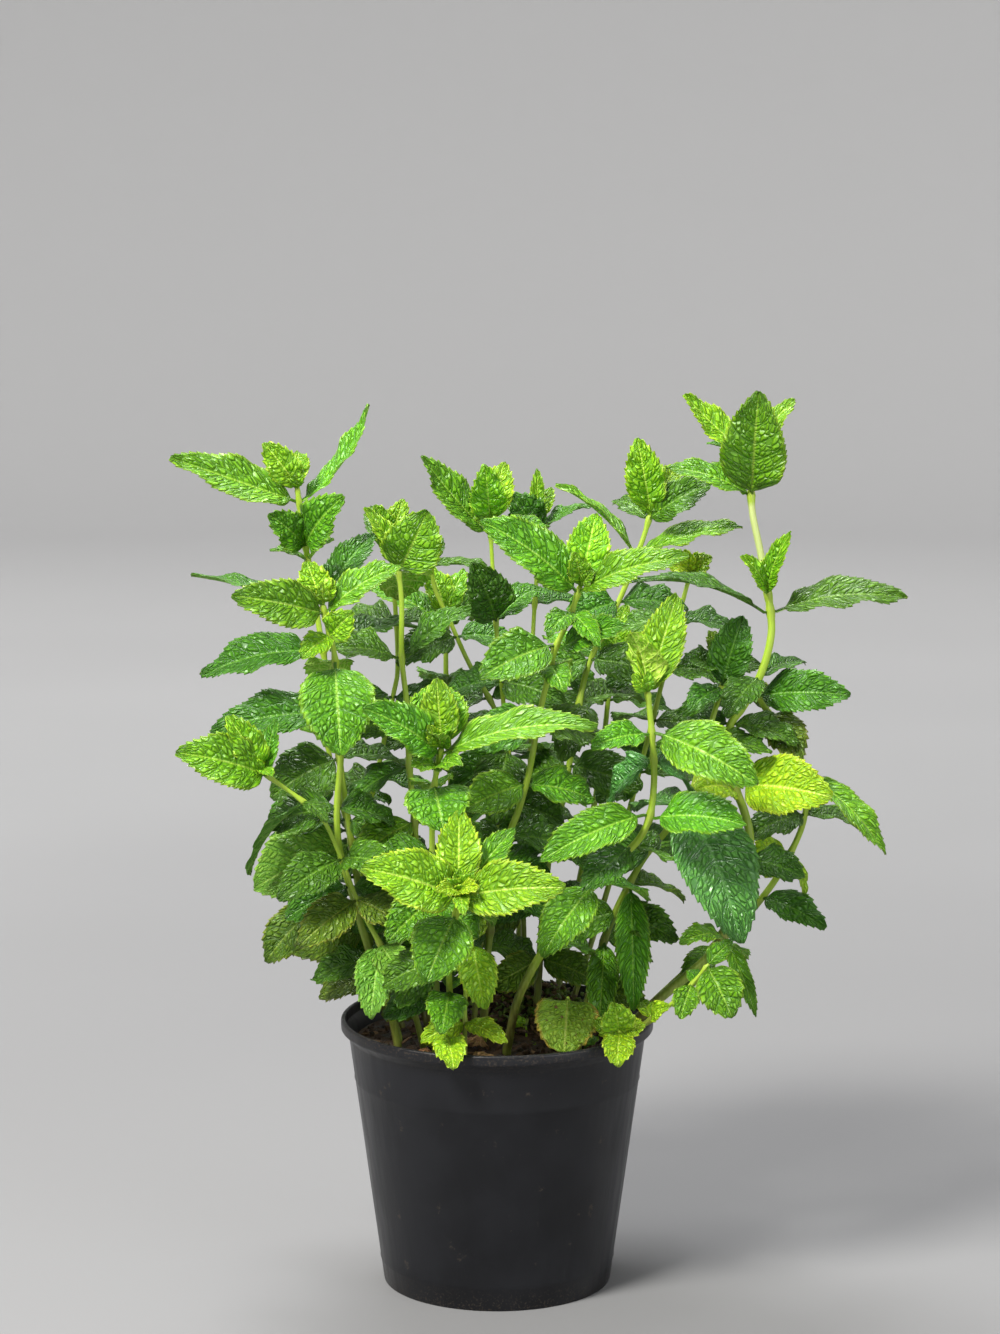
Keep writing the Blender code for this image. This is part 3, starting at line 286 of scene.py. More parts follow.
     "stem": [(6, 34, 104), (11, 42, 160), (14, 48, 210), (15, 53, 260), (17, 56, 295), (17, 58, 313)],
     "pairs": [
         (313, "young", (17, 58, 335, 20, 6), (23, 66, 326, 40, 8)),
         (307, "dark", (5, 50, 325, 60, 16), (40, 60, 319, 10, 11)),
         (278, "dark", (-12, 72, 268, 20, 18), (40, 76, 272, 20, 18)),
         (214, "dark", (-2, 84, 202, 20, 18), (40, 62, 204, 20, 16))],
     "inner": [
         (250, "dark", (-12, 42, 240, 40, 18), (42, 44, 244, 40, 17)),
         (186, "dark", (-12, 34, 174, 40, 17), (38, 66, 176, 20, 17))]},
    {"name": "17", "thick": (1.3, 0.9), "split": 280, "own": [],
     "stem": [(30, 30, 104), (48, 42, 160), (64, 50, 220), (76, 54, 268), (82, 56, 291)],
     "pairs": [
         (290, "lime", (70, 48, 297, 50, 12), (91, 52, 298, 50, 10)),
         (270, "dark", (50, 60, 264, 20, 16), (106, 64, 262, 20, 16)),
         (228, "dark", (54, 84, 220, 20, 17), (94, 40, 222, 30, 16)),
         (180, "dark", (30, 60, 168, 20, 16), (80, 46, 170, 20, 16))],
     "inner": [
         (250, "dark", (46, 40, 242, 40, 17), (100, 44, 246, 30, 16)),
         (206, "dark", (42, 34, 196, 50, 17), (94, 54, 200, 20, 16))]},
    {"name": "22", "thick": (1.6, 1.0), "split": 250, "own": [],
     "stem": [(-12, 40, 104), (-16, 52, 150), (-20, 64, 200), (-22, 74, 240), (-22, 79, 268)],
     "pairs": [
         (268, "young", (-30, 86, 290, 20, 12), (-14, 88, 288, 20, 11)),
         (264, "fresh", (-58, 84, 280, 20, 17), (12, 92, 278, 20, 17)),
         (240, "dark", (-28, 112, 232, -40, 19), (-20, 52, 246, 40, 14)),
         (206, "dark", (-60, 76, 196, 0, 20), (16, 82, 192, 0, 19)),
         (160, "dark", (-22, 92, 142, -50, 20), (-42, 44, 146, 10, 14))],
     "inner": [
         (224, "dark", (-48, 58, 214, 30, 17), (6, 62, 216, 20, 16))]},
    {"name": "23", "thick": (1.6, 1.0), "split": 236, "own": [],
     "stem": [(24, 40, 104), (34, 56, 150), (44, 72, 200), (50, 84, 250)],
     "pairs": [
         (250, "young", (56, 92, 272, 20, 12), (44, 94, 270, 20, 11)),
         (246, "fresh", (80, 98, 262, 10, 17), (20, 100, 256, 10, 17)),
         (216, "dark", (50, 114, 206, -40, 20), (66, 56, 210, 20, 14)),
         (176, "dark", (78, 74, 164, 0, 19), (6, 72, 160, 0, 18)),
         (138, "dark", (36, 84, 122, -50, 18), (60, 44, 132, 10, 15))],
     "inner": [
         (232, "dark", (20, 72, 224, 20, 16), (76, 80, 226, 20, 16))]},
    {"name": "24", "thick": (1.5, 1.0), "split": 206, "own": [],
     "stem": [(-36, 34, 104), (-54, 46, 150), (-68, 56, 196), (-74, 60, 222)],
     "pairs": [
         (222, "young", (-84, 62, 242, 20, 11), (-68, 70, 240, 20, 11)),
         (217, "fresh", (-108, 66, 230, 10, 17), (-66, 96, 222, -20, 16)),
         (180, "dark", (-98, 52, 168, 10, 18), (-54, 88, 170, -30, 18)),
         (142, "dark", (-74, 70, 128, -30, 18), (-76, 28, 136, 20, 15))],
     "inner": [
         (198, "dark", (-96, 40, 188, 30, 17), (-46, 60, 190, 20, 16))]},
    {"name": "18", "thick": (1.2, 0.8), "split": None, "own": [],
     "stem": [(-40, 16, 104), (-52, 17, 126), (-60, 17, 138), (-68, 16, 147), (-76, 15, 155),
              (-80, 12, 167)],
     "pairs": [
         (166, "fresh", (-90, 6, 160, 30, 11), (-70, 22, 174, 30, 9)),
         (155, "olive", (-97, 12, 132, 50, 17), (-60, 30, 160, 20, 12)),
         (146, "olive", (-66, 2, 122, 50, 12), (-78, 26, 135, 30, 9))]},
    {"name": "19", "thick": (1.0, 0.7), "split": None, "own": [],
     "stem": [(46, -20, 104), (62, -28, 117), (76, -33, 130), (86, -36, 143)],
     "pairs": [
         (142, "fresh", (95, -46, 123, 60, 17), (96, -30, 151, 40, 8)),
         (134, "fresh", (74, -44, 122, 50, 10), (84, -22, 136, 30, 8)),
         (118, "lime", (70, -38, 126, 50, 8), (60, -16, 122, 30, 8))]},
    {"name": "20", "thick": (0.9, 0.7), "split": None, "own": [],
     "stem": [(44, -28, 104), (48, -36, 113), (50, -43, 116), (49, -48, 118)],
     "pairs": [
         (117, "lime", (47, -52, 131, 70, 13), (48, -58, 106, 60, 12)),
         (116, "lime", (39, -54, 121, 50, 9), (60, -54, 120, 50, 9))]},
    {"name": "21", "thick": (1.0, 0.7), "split": None, "own": [],
     "stem": [(-13, -42, 104), (-13, -43, 125), (-12, -44, 143), (-10, -45, 155)],
     "pairs": [
         (154, "lime", (-5, -56, 129, 60, 14), (-8, -30, 160, 40, 9)),
         (120, "lime", (4, -60, 116, 40, 9), (-31, -47, 114, 50, 10))]},
    {"name": "26", "thick": (0.8, 0.6), "split": None, "own": [],
     "stem": [(-20, -53, 104), (-20, -56, 118)],
     "pairs": [(118, "lime", (-17, -73, 109, 50, 12), None)]},
    {"name": "27", "thick": (0.9, 0.7), "split": None, "own": [],
     "stem": [(27, -18, 104), (29, -27, 127)],
     "pairs": [(126, "spotted", (27, -57, 109, 60, 23, 0.12), None)]},
]


# The point of a rising path at a height
def pointAt(path, height):
    for low, high in zip(path, path[1:]):
        if height <= high[2]:
            share = (height - low[2]) / (high[2] - low[2])
            return Vector(low).lerp(Vector(high), share)
    return Vector(path[-1])


def leafHalfWidth(share, width):
    along = (share - leafPlan["petioleShare"]) / (1 - leafPlan["petioleShare"])
    if along <= 0:
        return leafPlan["petioleHalf"]
    if along >= 1:
        return 0.0
    full = math.sin(math.pi * along ** leafPlan["belly"]) ** leafPlan["roundness"]
    return max(leafPlan["petioleHalf"] * (1 - along), width / 2 * leafPlan["fullness"] * full)


# How a leaf lies: chord, length, direction, upper face, side and arch
def leafFrame(base, leaf):
    chord = Vector(leaf[:3]) - base
    length = chord.length
    forward = chord / length
    lean = math.radians(leaf[3])
    hint = Vector((0, -math.sin(lean), math.cos(lean)))
    normal = (hint - forward * hint.dot(forward)).normalized()
    arch = leaf[5] if len(leaf) > 5 else 0.1
    return chord, length, forward, normal, normal.cross(forward), arch


def leafShell(base, leaf, halfThickness, widen=0.0, first=0.0):
    chord, length, forward, normal, side, arch = leafFrame(base, leaf)
    shares = [0, 0.1, 0.24, 0.42, 0.62, 0.82, 1] if length > 42 else [0, 0.12, 0.4, 0.72, 1]
    shares = [max(share, first) for share in shares if share >= first or share == 0]
    fold = leafPlan["fold"]
    points = []
    for share in shares[:-1]:
        centre = base + chord * share + normal * (arch * length * 4 * share * (1 - share))
        local = (normal - forward * (4 * arch * (1 - 2 * share))).normalized()
        half = leafHalfWidth(share, leaf[4]) + widen
        blade = share > leafPlan["petioleShare"]
        rise = math.sin(fold) if blade else 0
        spread = math.cos(fold) if blade else 1
        thick = halfThickness if blade else max(halfThickness, 0.55)
        points.append(centre + side * half * spread + local * half * rise)
        points.append(centre + local * thick)
        points.append(centre - side * half * spread + local * half * rise)
        points.append(centre - local * thick)
    points.append(base + chord)
    faces = [(0, 1, 2, 3)]
    for ring in range(len(shares) - 2):
        low = ring * 4
        for corner in range(4):
            after = (corner + 1) % 4
            faces.append((low + corner, low + 4 + corner, low + 4 + after, low + after))
    low = (len(shares) - 2) * 4
    for corner in range(4):
        faces.append((low + corner, len(points) - 1, low + (corner + 1) % 4))
    return points, faces


def frameOf(direction):
    across = direction.cross(Vector((0, 1, 0))).normalized()
    return across, direction.cross(across).normalized()


def tubeShell(path, radii):
    sides = leafPlan["stemSides"]
    points = []
    for place, point in enumerate(path):
        before = path[max(place - 1, 0)]
        after = path[min(place + 1, len(path) - 1)]
        across, away = frameOf((after - before).normalized())
        for corner in range(sides):
            angle = 2 * math.pi * corner / sides
            outward = across * math.cos(angle) + away * math.sin(angle)
            points.append(point + outward * radii[place])
    faces = [tuple(range(sides))[::-1]]
    for ring in range(len(path) - 1):
        low = ring * sides
        high = low + sides
        for corner in range(sides):
            after = (corner + 1) % sides
            faces.append((low + corner, low + after, high + after, high + corner))
    low = (len(path) - 1) * sides
    faces.append(tuple(low + corner for corner in range(sides)))
    return points, faces


def stemRadius(shoot, height):
    low = shoot["stem"][0][2]
    high = shoot["stem"][-1][2]
    share = min(max((height - low) / (high - low), 0), 1)
    return shoot["thick"][0] + (shoot["thick"][1] - shoot["thick"][0]) * share


def stemPart(shoot, low, high):
    inner = [Vector(point) for point in shoot["stem"] if low + 1.5 < point[2] < high - 1.5]
    path = [pointAt(shoot["stem"], low)] + inner + [pointAt(shoot["stem"], high)]
    return path, [stemRadius(shoot, point.z) for point in path]


def treeOf(shell):
    return BVHTree.FromPolygons(*shell)


def touches(tree, placed, group):
    return any(other != group and tree.overlap(solid) for other, solid in placed)


def groupOf(shoot, height):
    if height in shoot["own"]:
        return f"leaf_pair_{shoot['name']}_{shoot['own'].index(height) + 1}"
    if shoot["split"] is None:
        return f"sprig_{shoot['name']}"
    return f"crown_{shoot['name']}" if height >= shoot["split"] else f"stem_{shoot['name']}"


# A leaf that would cross another is moved a little, in depth first
nudges = [(0, 0, 0, 0)]
nudges += [(0, step, 0, 0) for step in (3, -3, 6, -6, 9, -9)]
nudges += [(0, 0, step, 0) for step in (3, -3)]
nudges += [(0, step, 0, turn) for turn in (15, -15, 30, -30) for step in (0, 5, -5, 10, -10)]
for turns, depths, step in (((0, 20, -20), (13, -13, 18, -18), 4), ((0, 25, -25), (24, -24, 30, -30), 9)):
    nudges += [
        (x, y, z, turn)
        for turn in turns
        for y in depths
        for x in (0, step, -step)
        for z in (0, step, -step)
    ]


def fitted(base, leaf, placed, group, start):
    for size in (1, 0.85, 0.7, 0.55, 0.4):
        for x, y, z, turn in nudges:
            tip = base + (Vector(leaf[:3]) + Vector((x, y, z)) - base) * size
            tried = (*tip, leaf[3] + turn, leaf[4] * size, *leaf[5:])
            tree = treeOf(leafShell(base, tried, clearance["leafHalf"], clearance["leafEdge"], start))
            if not touches(tree, placed, group):
                return tried, tree
    return None, None


def leafBase(shoot, height, leaf):
    axis = pointAt(shoot["stem"], height)
    if height not in shoot["own"]:
        return axis
    above = pointAt(shoot["stem"], height + 2)
    below = pointAt(shoot["stem"], height - 2)
    along = (above - below).normalized()
    out = Vector(leaf[:3]) - axis
    out = (out - along * out.dot(along)).normalized()
    return axis + out * (stemRadius(shoot, height) + clearance["ownPair"])


# Puts every leaf in turn clear of the pot, the stems and the leaves before it
def settle():
    reach, high = clearance["rimRing"], clearance["rimHeight"]
    ring = []
    for step in range(24):
        angle = step * math.pi / 12
        ring.append(Vector((reach * math.cos(angle), reach * math.sin(angle), high)))
    placed = [("pot", treeOf(tubeShell(ring + ring[:1], [clearance["rimReach"]] * 25)))]
    ground = [Vector((0, 0, 60)), Vector((0, 0, clearance["ground"]))]
    placed.append(("soil", treeOf(tubeShell(ground, [clearance["groundReach"]] * 2))))
    for shoot in shoots:
        path, radii = stemPart(shoot, 104, shoot["stem"][-1][2])
        clear = tubeShell(path, [radius + clearance["stem"] for radius in radii])
        placed.append((f"tube_{shoot['name']}", treeOf(clear)))
    wanted = [(shoot, pair) for shoot in shoots for pair in shoot["pairs"]]
    wanted += [(shoot, pair) for shoot in shoots for pair in shoot.get("inner", [])]
    leaves = []
    for shoot, (height, tone, *pair) in wanted:
        group = groupOf(shoot, height)
        for leaf in pair:
            if leaf is None:
                continue
            base = leafBase(shoot, height, leaf)
            length = (Vector(leaf[:3]) - base).length
            start = min(0.45, (stemRadius(shoot, height) + 2.2) / length)
            found, tree = fitted(base, leaf, placed, group, start)
            if found is None:
                continue
            placed.append((group, tree))
            leaves.append((group, shoot, height, tone, base, found))
    return leaves


def addNode(tree, kind, inputs=None, **values):
    made = tree.nodes.new(kind)
    for name, value in values.items():
        setattr(made, name, value)
    for name, value in (inputs or {}).items():
        feed(tree, made.inputs[name], value)
    return made


# A socket takes either a fixed value or the output of another node
def feed(tree, socket, value):
    if isinstance(value, bpy.types.NodeSocket):
        tree.links.new(value, socket)
    elif isinstance(value, tuple) and len(value) == 3 and socket.type == "RGBA":
        socket.default_value = (*value, 1)
    else:
        socket.default_value = value


def maths(tree, operation, first, second=0.0, third=0.0):
    return addNode(tree, "ShaderNodeMath", {0: first, 1: second, 2: third}, operation=operation).outputs[0]


def times(tree, first, second):
    return maths(tree, "MULTIPLY", first, second)


def plus(tree, first, second):
    return maths(tree, "ADD", first, second)


def larger(tree, first, second):
    return maths(tree, "MAXIMUM", first, second)


def noised(tree, place, scale, detail, roughness=0.5):
    made = addNode(
        tree,
        "ShaderNodeTexNoise",
        {"Vector": place, "Scale": scale, "Detail": detail, "Roughness": roughness},
    )
    return made.outputs[0]


def ramped(tree, value, low, high, start=0.0, end=1.0, smooth=True):
    made = addNode(
        tree,
        "ShaderNodeMapRange",
        {"Value": value, "From Min": low, "From Max": high, "To Min": start, "To Max": end},
        clamp=True,
    )
    made.interpolation_type = "SMOOTHSTEP" if smooth else "LINEAR"
    return made.outputs["Result"]


def mixed(tree, share, first, second, blend="MIX"):
    made = addNode(tree, "ShaderNodeMix", data_type="RGBA", blend_type=blend)
    feed(tree, made.inputs[0], share)
    feed(tree, made.inputs[6], first)
    feed(tree, made.inputs[7], second)
    return made.outputs[2]


def mixedValue(tree, share, first, second):
    made = addNode(tree, "ShaderNodeMix", data_type="FLOAT")
    feed(tree, made.inputs[0], share)
    feed(tree, made.inputs[2], first)
    feed(tree, made.inputs[3], second)
    return made.outputs[0]


def attribute(tree, name):
    made = addNode(tree, "ShaderNodeAttribute", attribute_name=name, attribute_type="GEOMETRY")
    return made.outputs["Fac"]


def surfacePlace(tree):
    return addNode(tree, "ShaderNodeTexCoord").outputs["Object"]


def newMaterial(name):
    material = bpy.data.materials.new(name)
    material.use_nodes = True
    return material, material.node_tree, material.node_tree.nodes["Principled BSDF"]


def addBump(tree, shader, height, strength, distance):
    bump = addNode(tree, "ShaderNodeBump", {"Height": height, "Strength": strength, "Distance": distance})
    feed(tree, shader.inputs["Normal"], bump.outputs[0])


def letLightThrough(shader, weight, radius, scale):
    shader.inputs["Subsurface Weight"].default_value = weight
    shader.inputs["Subsurface Radius"].default_value = radius
    shader.inputs["Subsurface Scale"].default_value = scale


def newGroup(name, inputs, outputs):
    group = bpy.data.node_groups.new(name, "ShaderNodeTree")
    for label, kind, value in inputs:
        socket = group.interface.new_socket(name=label, in_out="INPUT", socket_type=kind)
        if value is not None:
            socket.default_value = value
    for label, kind in outputs:
        group.interface.new_socket(name=label, in_out="OUTPUT", socket_type=kind)
    return group, group.nodes.new("NodeGroupInput"), group.nodes.new("NodeGroupOutput")


def useGroup(tree, group, inputs):
    made = tree.nodes.new("ShaderNodeGroup")
    made.node_tree = group
    for name, value in inputs.items():
        feed(tree, made.inputs[name], value)
    return made


# Widths are shares of half a leaf, or of the step between two side veins
veinLook = {
    "midrib": (0.012, 0.055),
    "sideVein": (0.02, 0.13),
    "trench": (0.03, 0.17),
    "netWidth": 0.1,
    "netDepth": 0.75,
    "wobble": 0.35,
    "randomness": 0.85,
    "domeWidth": 0.3,
}


# The midrib and side veins, a fine net of grooves between them, and the domes inside the net
def makeVeinGroup():
    group, start, end = newGroup(
        "leafVeins",
        [
            ("Across", "NodeSocketFloat", 0.0),
            ("Run", "NodeSocketFloat", 0.0),
            ("Net Place", "NodeSocketVector", None),
            ("Net Width", "NodeSocketFloat", veinLook["netWidth"]),
        ],
        [
            ("Vein", "NodeSocketFloat"),
            ("Side Vein", "NodeSocketFloat"),
            ("Groove", "NodeSocketFloat"),
            ("Dome", "NodeSocketFloat"),
            ("Edge", "NodeSocketFloat"),
        ],
    )
    across, run, place, netWidth = (start.outputs[i] for i in range(4))
    reach = maths(group, "ABSOLUTE", across)
    between = times(group, maths(group, "PINGPONG", run, 0.5), 2.0)
    sideVein = ramped(group, between, *veinLook["sideVein"], 1.0, 0.0)
    sideVein = times(group, sideVein, ramped(group, reach, 0.55, 0.95, 0.6, 0.15))
    middle = ramped(group, reach, *veinLook["midrib"], 1.0, 0.0)
    wobble = addNode(group, "ShaderNodeTexNoise", {"Vector": place, "Scale": 0.8, "Detail": 1.0})
    shifted = addNode(group, "ShaderNodeVectorMath", operation="MULTIPLY_ADD")
    feed(group, shifted.inputs[0], wobble.outputs["Color"])
    shifted.inputs[1].default_value = (veinLook["wobble"], veinLook["wobble"], 0.0)
    feed(group, shifted.inputs[2], place)
    cells = addNode(
        group,
        "ShaderNodeTexVoronoi",
        {"Vector": shifted.outputs[0], "Scale": 1.0, "Randomness": veinLook["randomness"]},
        feature="DISTANCE_TO_EDGE",
    )
    distance = cells.outputs["Distance"]
    net = ramped(group, distance, 0.0, netWidth, veinLook["netDepth"], 0.0)
    trench = ramped(group, between, *veinLook["trench"], 1.0, 0.0)
    groove = larger(group, net, trench)
    groove = times(group, groove, ramped(group, reach, 0.85, 1.0, 1.0, 0.4))
    dome = ramped(group, distance, 0.0, veinLook["domeWidth"])
    dome = times(group, dome, ramped(group, between, 0.0, veinLook["domeWidth"], 0.2, 1.0))
    dome = times(group, dome, ramped(group, reach, 0.03, 0.14, 0.1, 1.0))
    edge = ramped(group, reach, 0.8, 1.0)
    made = {"Vein": middle, "Side Vein": sideVein, "Groove": groove, "Dome": dome, "Edge": edge}
    for name, value in made.items():
        feed(group, end.inputs[name], value)
    return group


# Uneven tint, small flecks and larger stains
def makeMottleGroup():
    group, start, end = newGroup(
        "surfaceMottle",
        [
            ("Place", "NodeSocketVector", None),
            ("Patch Scale", "NodeSocketFloat", 90.0),
            ("Fleck Scale", "NodeSocketFloat", 900.0),
            ("Stain Amount", "NodeSocketFloat", 0.3),
        ],
        [("Patch", "NodeSocketFloat"), ("Fleck", "NodeSocketFloat"), ("Stain", "NodeSocketFloat")],
    )
    place, patchScale, fleckScale, amount = (start.outputs[i] for i in range(4))
    patch = noised(group, place, patchScale, 3.0)
    fleck = noised(group, place, fleckScale, 2.0)
    stain = noised(group, place, times(group, patchScale, 2.6), 4.0, 0.7)
    low = maths(group, "SUBTRACT", 0.86, times(group, amount, 0.4))
    stained = ramped(group, stain, low, plus(group, low, 0.07))
    for name, value in (("Patch", ramped(group, patch, 0.3, 0.7)), ("Fleck", fleck), ("Stain", stained)):
        feed(group, end.inputs[name], value)
    return group


# Long faint streaks, along a stalk or down the side of the pot
def makeStreakGroup():
    group, start, end = newGroup(
        "surfaceStreak",
        [
            ("Place", "NodeSocketVector", None),
            ("Stretch", "NodeSocketVector", None),
            ("Scale", "NodeSocketFloat", 900.0),
            ("Detail", "NodeSocketFloat", 2.0),
        ],
        [("Streak", "NodeSocketFloat")],
    )
    place, stretch, scale, detail = (start.outputs[i] for i in range(4))
    stretched = addNode(group, "ShaderNodeMapping", {"Vector": place, "Scale": stretch}).outputs[0]
    feed(group, end.inputs["Streak"], noised(group, stretched, scale, detail))
    return group


# Crumbly cells under fine flecks, as a height
def makeGrainGroup():
    group, start, end = newGroup(
        "soilGrain",
        [
            ("Place", "NodeSocketVector", None),
            ("Scale", "NodeSocketFloat", 500.0),
            ("Fleck", "NodeSocketFloat", 0.5),
        ],
        [("Height", "NodeSocketFloat")],
    )
    place, scale, fleck = (start.outputs[i] for i in range(3))
    cells = addNode(group, "ShaderNodeTexVoronoi", {"Vector": place, "Scale": scale}).outputs["Distance"]
    feed(group, end.inputs["Height"], plus(group, times(group, fleck, 0.8), cells))
    return group


leafLook = {
    "toothSpacing": 2.7,
    "toothDepth": 0.055,
    "toothLean": 0.3,
    "rowsPerTooth": 5,
    "halfThickness": 0.13,
    "puckerHeight": 0.6,
    "waveHeight": 0.95,
    "cellSize": 2.1,
    "seed": 11,
}


def linked(name, mesh):
    made = bpy.data.objects.new(name, mesh)
    scene.collection.objects.link(made)
    return made


# A smooth piece, with one value per point under each label
def addPiece(name, points, faces, values):
    mesh = bpy.data.meshes.new(name)
    mesh.from_pydata(points, [], faces)
    mesh.shade_smooth()
    for label, data in values.items():
        spread = np.asarray(data, dtype=np.float32)
        mesh.attributes.new(label, "FLOAT", "POINT").data.foreach_set("value", spread)
    return linked(name, mesh)


def smoothStep(low, high, value):
    share = np.clip((value - low) / (high - low), 0, 1)
    return share * share * (3 - 2 * share)


def halfWidths(shares, width, blunt):
    halves = np.array([leafHalfWidth(share, width) for share in shares])
    along = np.clip((shares - leafPlan["petioleShare"]) / (1 - leafPlan["petioleShare"]), 0, 1)
    rounded = width / 2 * leafPlan["fullness"] * np.sin(math.pi * along**0.85) ** 0.45
    return np.maximum(halves, rounded) if blunt else halves


# Saw teeth that point to the tip, out of step on the two sides
def sawTeeth(along, teeth, across):
    saws = []
    for offset in (0.0, 0.4):
        phase = (along * teeth + offset) % 1.0
        saw = np.where(phase < 0.81, (phase / 0.8) ** 1.3, (1 - phase) / 0.2)
        saws.append(saw * smoothStep(0.06, 0.2, along) * (1 - 0.5 * smoothStep(0.85, 1.0, along)))
    return np.where(across[None, :] >= 0, saws[0][:, None], saws[1][:, None])


# The faces of a closed sheet: upper grid, lower grid and the rim that joins them
def sheetFaces(rows, columns):
    size = rows * columns
    grid = np.arange(size).reshape(rows, columns)
    a0, a1, a2, a3 = grid[:-1, :-1], grid[:-1, 1:], grid[1:, 1:], grid[1:, :-1]
    upper = np.stack([a0, a1, a2, a3], -1).reshape(-1, 4)
    under = np.stack([a0, a3, a2, a1], -1).reshape(-1, 4) + size
    loop = np.concatenate([grid[0, :], grid[1:, -1], grid[-1, -2::-1], grid[-2:0:-1, 0]])
    after = np.roll(loop, -1)
    rim = np.stack([loop, loop + size, after + size, after], -1)
    return np.concatenate([upper, under, rim])


# One leaf as a thin closed sheet: toothed edge, folded along the midrib, puckered between its veins
def leafMesh(name, base, leaf, axis, rng, blunt=False):
    chord, length, forward, normal, side, arch = leafFrame(base, leaf)
    width = leaf[4]
    stalk = leafPlan["petioleShare"]
    teeth = int(min(max(round(length * (1 - stalk) / leafLook["toothSpacing"]), 6), 17))
    perTooth = leafLook["rowsPerTooth"]
    blade = np.linspace(0, 1, teeth * perTooth + 1)[1:]
    blade[-1] = 0.995
    shares = np.concatenate([[0, 0.035, 0.07, stalk], stalk + blade * (1 - stalk)])
    along = np.clip((shares - stalk) / (1 - stalk), 0, 1)
    columns = 21 if width > 15 else 17 if width > 9 else 11
    across = np.linspace(-1, 1, columns)
    reach = np.abs(across)
    veins = float(round(4 + length / 22))

    forwardArray = np.array(forward)
    sideArray = np.array(side)
    normalArray = np.array(normal)
    centre = np.array(base) + np.outer(shares, np.array(chord))
    centre += np.outer(arch * length * 4 * shares * (1 - shares), normalArray)
    slope = 4 * arch * (1 - 2 * shares)
    local = normalArray - np.outer(slope, forwardArray)
    local /= np.linalg.norm(local, axis=1)[:, None]
    tangent = np.cross(sideArray[None, :], local)
    tangent *= np.sign(np.sum(tangent * forwardArray, axis=1))[:, None]

    saw = sawTeeth(along, teeth, across)
    sharp = reach[None, :] ** 7
    toothDepth = min(leafLook["toothDepth"] * width, 0.8) * (0.8 + 0.4 * rng.random())
    half = np.maximum(halfWidths(shares, width, blunt), 0.16)
    out = across[None, :] * half[:, None]
    toothed = (along > 0.05)[:, None]
    out = out + np.sign(across)[None, :] * sharp * (saw - 0.35) * toothDepth * toothed
    ahead = sharp * saw * leafLook["toothLean"] * length / teeth * 0.9

    # The height of the upper face over the flat leaf
    isBlade = smoothStep(0.0, 0.1, along)[:, None]
    sine = math.sin(leafPlan["fold"])
    a = reach[None, :]
    height = np.abs(out) * sine * (1.3 - 0.3 * a) * isBlade
    run = (along[:, None] - 0.2 * a**1.15) * veins
    between = np.abs((run + 0.5) % 1.0 - 0.5) * 2
    seed = rng.random() * 40
    cell = leafLook["cellSize"] + 0.016 * length
    netX = (along[:, None] - 0.2 * a**1.15) * length / cell
    netY = across[None, :] * (width * 0.5 * leafPlan["fullness"]) / cell * 1.05 + 0 * netX
    lump = np.sin(netX * 2.1 + 1.7 * np.sin(netY * 1.3 + seed))
    lump = lump * np.sin(netY * 2.4 + 1.3 * np.sin(netX * 1.1 + seed * 2))
    pucker = smoothStep(0, 0.7, between) * (0.6 + 0.4 * lump) * smoothStep(0.02, 0.2, a)
    pucker *= 1 - 0.6 * smoothStep(0.8, 1.0, a)
    height = height + isBlade * pucker * leafLook["puckerHeight"] * min(1.0, width / 16)
    height = height - isBlade * 0.25 * (1 - smoothStep(0.0, 0.12, a)) * min(1, width / 14)
    wave = np.sin(along * math.tau * (1.6 + rng.random()) + seed)[:, None] * np.sign(across)[None, :]
    wave = wave + np.sin(along * math.tau * 3.3 + seed * 2)[:, None] * 0.7
    height = height + isBlade * wave * a**2 * leafLook["waveHeight"] * min(1, width / 16)
    height = height - isBlade * saw * sharp * 0.25

    # Half the thickness: a round stalk that becomes a thin blade with a ridge under the midrib
    stalkHalf = np.sqrt(np.clip(1 - a**2, 0, 1)) * 0.62
    thin = leafLook["halfThickness"] * (1 - 0.45 * smoothStep(0.8, 1, a))
    thickTop = stalkHalf * (1 - isBlade) + thin * isBlade
    ridge = 0.45 * np.exp(-((out / 0.55) ** 2)) * (1 - along[:, None]) ** 0.7
    sideRidge = 0.1 * (1 - smoothStep(0.0, 0.3, between)) * (1 - a)
    thickLow = thickTop + isBlade * (ridge + sideRidge)

    spread = (out * math.cos(leafPlan["fold"]))[:, :, None]
    flat = centre[:, None, :] + sideArray[None, None, :] * spread
    flat = flat + tangent[:, None, :] * ahead[:, :, None]
    top = flat + local[:, None, :] * (height + thickTop)[:, :, None]
    low = flat + local[:, None, :] * (height - thickLow)[:, :, None]

    # The stalk runs on into the stem
    root = np.array(axis) - np.array(base)
    pull = root[None, None, :] - tangent[:1, None, :] * 0.3
    top = np.concatenate([top[:1] + pull, top])
    low = np.concatenate([low[:1] + pull, low])
    rows = len(shares) + 1
    size = rows * columns
    points = np.concatenate([top.reshape(-1, 3), low.reshape(-1, 3)]) * mm
    faces = sheetFaces(rows, columns)
    outward = np.cross(points[1] - points[0], points[columns] - points[0])
    if np.dot(outward, local[0]) < 0:
        faces = faces[:, ::-1]
    netX = np.concatenate([netX[:1], netX]).reshape(-1)
    netY = np.concatenate([netY[:1], netY]).reshape(-1) + seed * 7
    run = np.concatenate([run[:1], run]).reshape(-1)
    values = {
        "leafAcross": np.tile(np.tile(across, rows), 2),
        "leafRun": np.tile(run, 2),
        "leafNetX": np.tile(netX, 2),
        "leafNetY": np.tile(netY, 2),
        "leafTop": np.concatenate([np.ones(size), np.zeros(size)]),
        "leafSeed": np.full(size * 2, rng.random() * 10),
    }
    return addPiece(name, points.tolist(), faces.tolist(), values)


